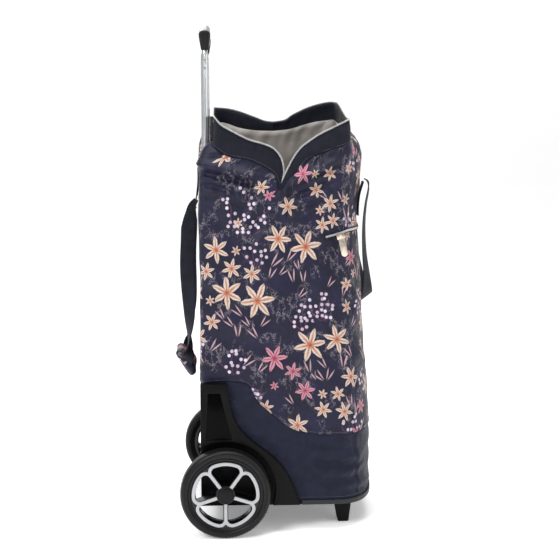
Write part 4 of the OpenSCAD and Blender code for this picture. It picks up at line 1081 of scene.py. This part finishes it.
champagne = uneven_finish("die_cast_zinc_champagne", 220.0, 4.0, "#cfc0ab", "#ece2d2", rough=(0.22, 0.38),
                          settings={"Metallic": 1.0})
for node, body in (("mouth_slider", "trolley"), ("mouth_pull", "mouth_pull"),
                   ("pocket_slider", "pocket_slider"), ("pocket_pull", "pocket_pull")):
    rounded_piece(node, champagne, body, "zip_metal", 0.0005, 2, 40)

# The pocket's zip climbs the side and then runs level round the front to the other side.
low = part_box("pocket_zip")[0]
zip_start = low.x + 0.002
climb = np.clip((reference[:, 0] - zip_start) / 0.05, 0, 1)
zip_line = low.z + 0.006 + 0.012 * climb  # height of the zip's middle in each column
pocket_ring = bag_surface(2, zip_line, zip_line + 0.0001, proud=0.0012)[0]
pocket = pocket_ring[np.flatnonzero(reference[:, 0] > zip_start)]
tangent = np.gradient(pocket, axis=0)
out = level_out(tangent)
lean = unit(np.cross(out, tangent))
tape, _ = strip("pocket_zip_tape", pocket - lean * 0.0042, pocket + lean * 0.0042, band_cloth, 0.0012, rows=3)
place_piece(outward(tape), "trolley", "band_fabric")
coil = bead_run("pocket_zip_shown", pocket + out * 0.0009, lean, COIL_PITCH, (0.0014, 0.0050, 0.0020),
                coil_nylon)
place_piece(coil, "trolley", "zip_coil", "pocket_zip")

# ---- Seam stitching ----
# A row of grey-blue lockstitch runs just above the seam that joins the print to the plain base, and
# another holds the binding at the hem.

for name, row, rise in (("base_seam_stitches", bag_points[0], 0.004),
                        ("hem_stitches", base_points[0], 0.0075)):
    ring = np.concatenate([row, row[:1]]) + [(0, 0, rise)]
    out = level_out(np.gradient(ring, axis=0))
    proud = 0.0006 if name.startswith("base") else 0.0004
    place_piece(bead_run(name, ring + out * proud, np.tile([(0.0, 0.0, 1.0)], (len(ring), 1)), STITCH_PITCH,
                         (0.0026, 0.0008, 0.0006), thread), "trolley", "base_fabric")

# ---- Carry handles ----
# Flat navy polypropylene webbing, 28 mm wide, makes a loop in front and a long one behind. The
# rear loop's crosspiece is wrapped in a padded sleeve of the printed cloth.

webbing = woven("polypropylene_webbing_navy", "#0b0d17", "#141624", 2.2, sheen=0.04, roughness=0.66)


def ribbon(name, centre, width_dir, width, thick, material, wide=None):
    """A flat band along a path, with rounded edges and closed ends."""
    count = len(centre)
    tangent = unit(np.gradient(centre, axis=0))
    width_dir = unit(width_dir - tangent * np.sum(width_dir * tangent, axis=1)[:, None])
    through = np.cross(tangent, width_dir)
    scale = np.ones(count) if wide is None else wide
    around = 16  # points round the band's section
    angles = np.linspace(0, 2 * math.pi, around, endpoint=False)
    w = squared_off(np.cos(angles), 0.4) * width / 2
    t = squared_off(np.sin(angles), 0.7) * thick / 2
    points = centre[:, None] + scale[:, None, None] * (width_dir[:, None] * w[None, :, None]
                                                       + through[:, None] * t[None, :, None])
    points = np.concatenate([np.repeat(centre[:1, None], around, 1), points,
                             np.repeat(centre[-1:, None], around, 1)])
    run = np.r_[0, np.cumsum(np.linalg.norm(np.diff(centre, axis=0), axis=1))]
    run = np.r_[run[0], run, run[-1]]
    obj = grid_object(name, points, material, closed=True)
    lay_out(obj, np.stack(np.broadcast_arrays(run[:, None], w + 0.02), 2))
    return outward(obj)


def loop_path(half_path, half_dirs, count):
    """Mirrors half a loop, given from its middle to its right end, into a whole one."""
    keys = np.array(half_path, float)
    dirs = np.array(half_dirs, float)
    whole = np.concatenate([keys[::-1], (keys * [1, -1, 1])[1:]])
    across = np.concatenate([dirs[::-1], dirs[1:]])
    both = curve_through(np.concatenate([whole, across * 0.02], 1), count)
    return both[:, :3], both[:, 3:] / 0.02


strap_w = 0.028
strap_thick = 0.0024
tab_thick = 0.0026


def sewn_tab(end, side, tab):
    """A flat tab of webbing along a path; the right one takes the place of the pair."""
    level = np.tile([(0.0, 1.0, 0.0)], (len(tab), 1))
    obj = ribbon(f"{end}_tab_{side}", tab, level, strap_w, tab_thick, webbing)
    place_piece(obj, "trolley", "webbing", *([end + "_tabs"] if side == "right" else []))


low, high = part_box("front_tabs")
strap_y = high.y - strap_w / 2
fold_x, fold_z = high.x + 0.0021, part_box("front_handle")[1].z - 0.0015
bottom_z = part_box("front_handle")[0].z
front_half = [(x0 + 0.2820, 0, bottom_z + 0.006), (x0 + 0.2810, -0.03, bottom_z + 0.008),
              (x0 + 0.2785, -0.055, bottom_z + 0.022), (x0 + 0.2755, -0.069, bottom_z + 0.055),
              (x0 + 0.2700, -strap_y, bottom_z + 0.1), (x0 + 0.2685, -strap_y, bottom_z + 0.15),
              (x0 + 0.2715, -strap_y, bottom_z + 0.19), (x0 + 0.2765, -strap_y, bottom_z + 0.22),
              (x0 + 0.2755, -strap_y, fold_z - 0.005), (fold_x, -strap_y, fold_z)]
front_dirs = [(0.8, 0, 0.6), (0.8, 0.1, 0.6), (0.7, 0.4, 0.5), (0.5, 0.8, 0.3), (0.42, 1, 0), (0.32, 1, 0),
              (0.26, 1, 0), (0.2, 1, 0), (0, 1, 0), (0, 1, 0)]
path, dirs = loop_path(front_half, front_dirs, 150)
place_piece(ribbon("front_handle_shown", path, dirs, strap_w, strap_thick, webbing),
            "front_handle", "webbing", "front_handle")
for side, sign in (("right", -1), ("left", 1)):
    tab = curve_through([(low.x + 0.0020, sign * strap_y, low.z + 0.001),
                         (low.x + 0.0030, sign * strap_y, (low.z + high.z) / 2),
                         (high.x - 0.0028, sign * strap_y, high.z - 0.001)], 24)
    ring = bag_points[len(bag_points) // 2]
    under_tab = np.flatnonzero((np.abs(ring[:, 1] - sign * strap_y) < strap_w / 2) & (ring[:, 0] > 0))
    on_cloth = max((np.interp(tab[:, 2], bag_points[:, i, 2], bag_points[:, i, 0]) for i in under_tab),
                   key=lambda run: run.mean()) + 0.0016
    come_out = np.clip((tab[:, 2] - high.z + 0.03) / 0.03, 0, 1) ** 2
    tab[:, 0] = on_cloth * (1 - come_out) + (high.x - 0.0012) * come_out
    sewn_tab("front", side, tab)
low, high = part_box("rear_handle")
leg_y = high.y - 0.0015
pivot_z = 0.618  # height of the line the rear loop turns on
sleeve_w, sleeve_thick = 0.058, 0.017
rear_half = [(x0 - 0.0755, 0, low.z + 0.037), (x0 - 0.0755, -0.035, low.z + 0.039),
             (x0 - 0.073, -0.062, low.z + 0.056), (x0 - 0.069, -0.077, low.z + 0.09),
             (x0 - 0.0665, -leg_y, low.z + 0.145), (x0 - 0.0695, -leg_y, low.z + 0.23),
             (x0 - 0.0675, -leg_y, pivot_z - 0.068), (x0 - 0.0645, -leg_y, pivot_z - 0.02),
             (x0 - 0.0545, -leg_y, pivot_z - 0.001)]
rear_dirs = [(-0.53, 0, 0.85), (-0.53, 0, 0.85), (-0.5, -0.3, 0.6), (0.1, -1, 0.2), (0.75, -0.6, 0),
             (1, -0.1, 0), (1, 0, 0), (1, 0, 0), (1, 0, 0.25)]
path, dirs = loop_path(rear_half, rear_dirs, 170)
place_piece(ribbon("rear_handle_shown", path, dirs, strap_w, strap_thick, webbing,
                   wide=np.interp(np.linspace(0, 1, 170), [0, 0.06, 0.94, 1], [0.35, 1, 1, 0.35])),
            "rear_handle", "webbing", "rear_handle")
middle = np.abs(path[:, 1]) < 0.05
sleeve_path = path[middle]
ends = np.clip((0.05 - np.abs(sleeve_path[:, 1])) / 0.01, 0, 1) ** 0.5
sleeve = ribbon("rear_handle_sleeve", sleeve_path, dirs[middle], sleeve_w, sleeve_thick, printed_cloth,
                wide=0.72 + 0.28 * ends)
uv = np.zeros(len(sleeve.data.loops) * 2)
sleeve.data.uv_layers["cloth"].data.foreach_get("uv", uv)
uv = uv.reshape(-1, 2) + [(right_edge + 0.085, 0.30)]
sleeve.data.uv_layers["cloth"].data.foreach_set("uv", uv.ravel())
print_on(sleeve)
place_piece(sleeve, "rear_handle", "print_fabric")
low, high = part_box("rear_tabs")
for side, sign in (("right", -1), ("left", 1)):
    y = sign * (high.y - strap_w / 2)
    tab = curve_through([(back_x - 0.0014, y, high.z - 0.001), (back_x - 0.0016, y, high.z - 0.026),
                         (back_x - 0.004, y, pivot_z + 0.022), (back_x - 0.0065, y, pivot_z + 0.0065)], 30)
    sewn_tab("rear", side, tab)
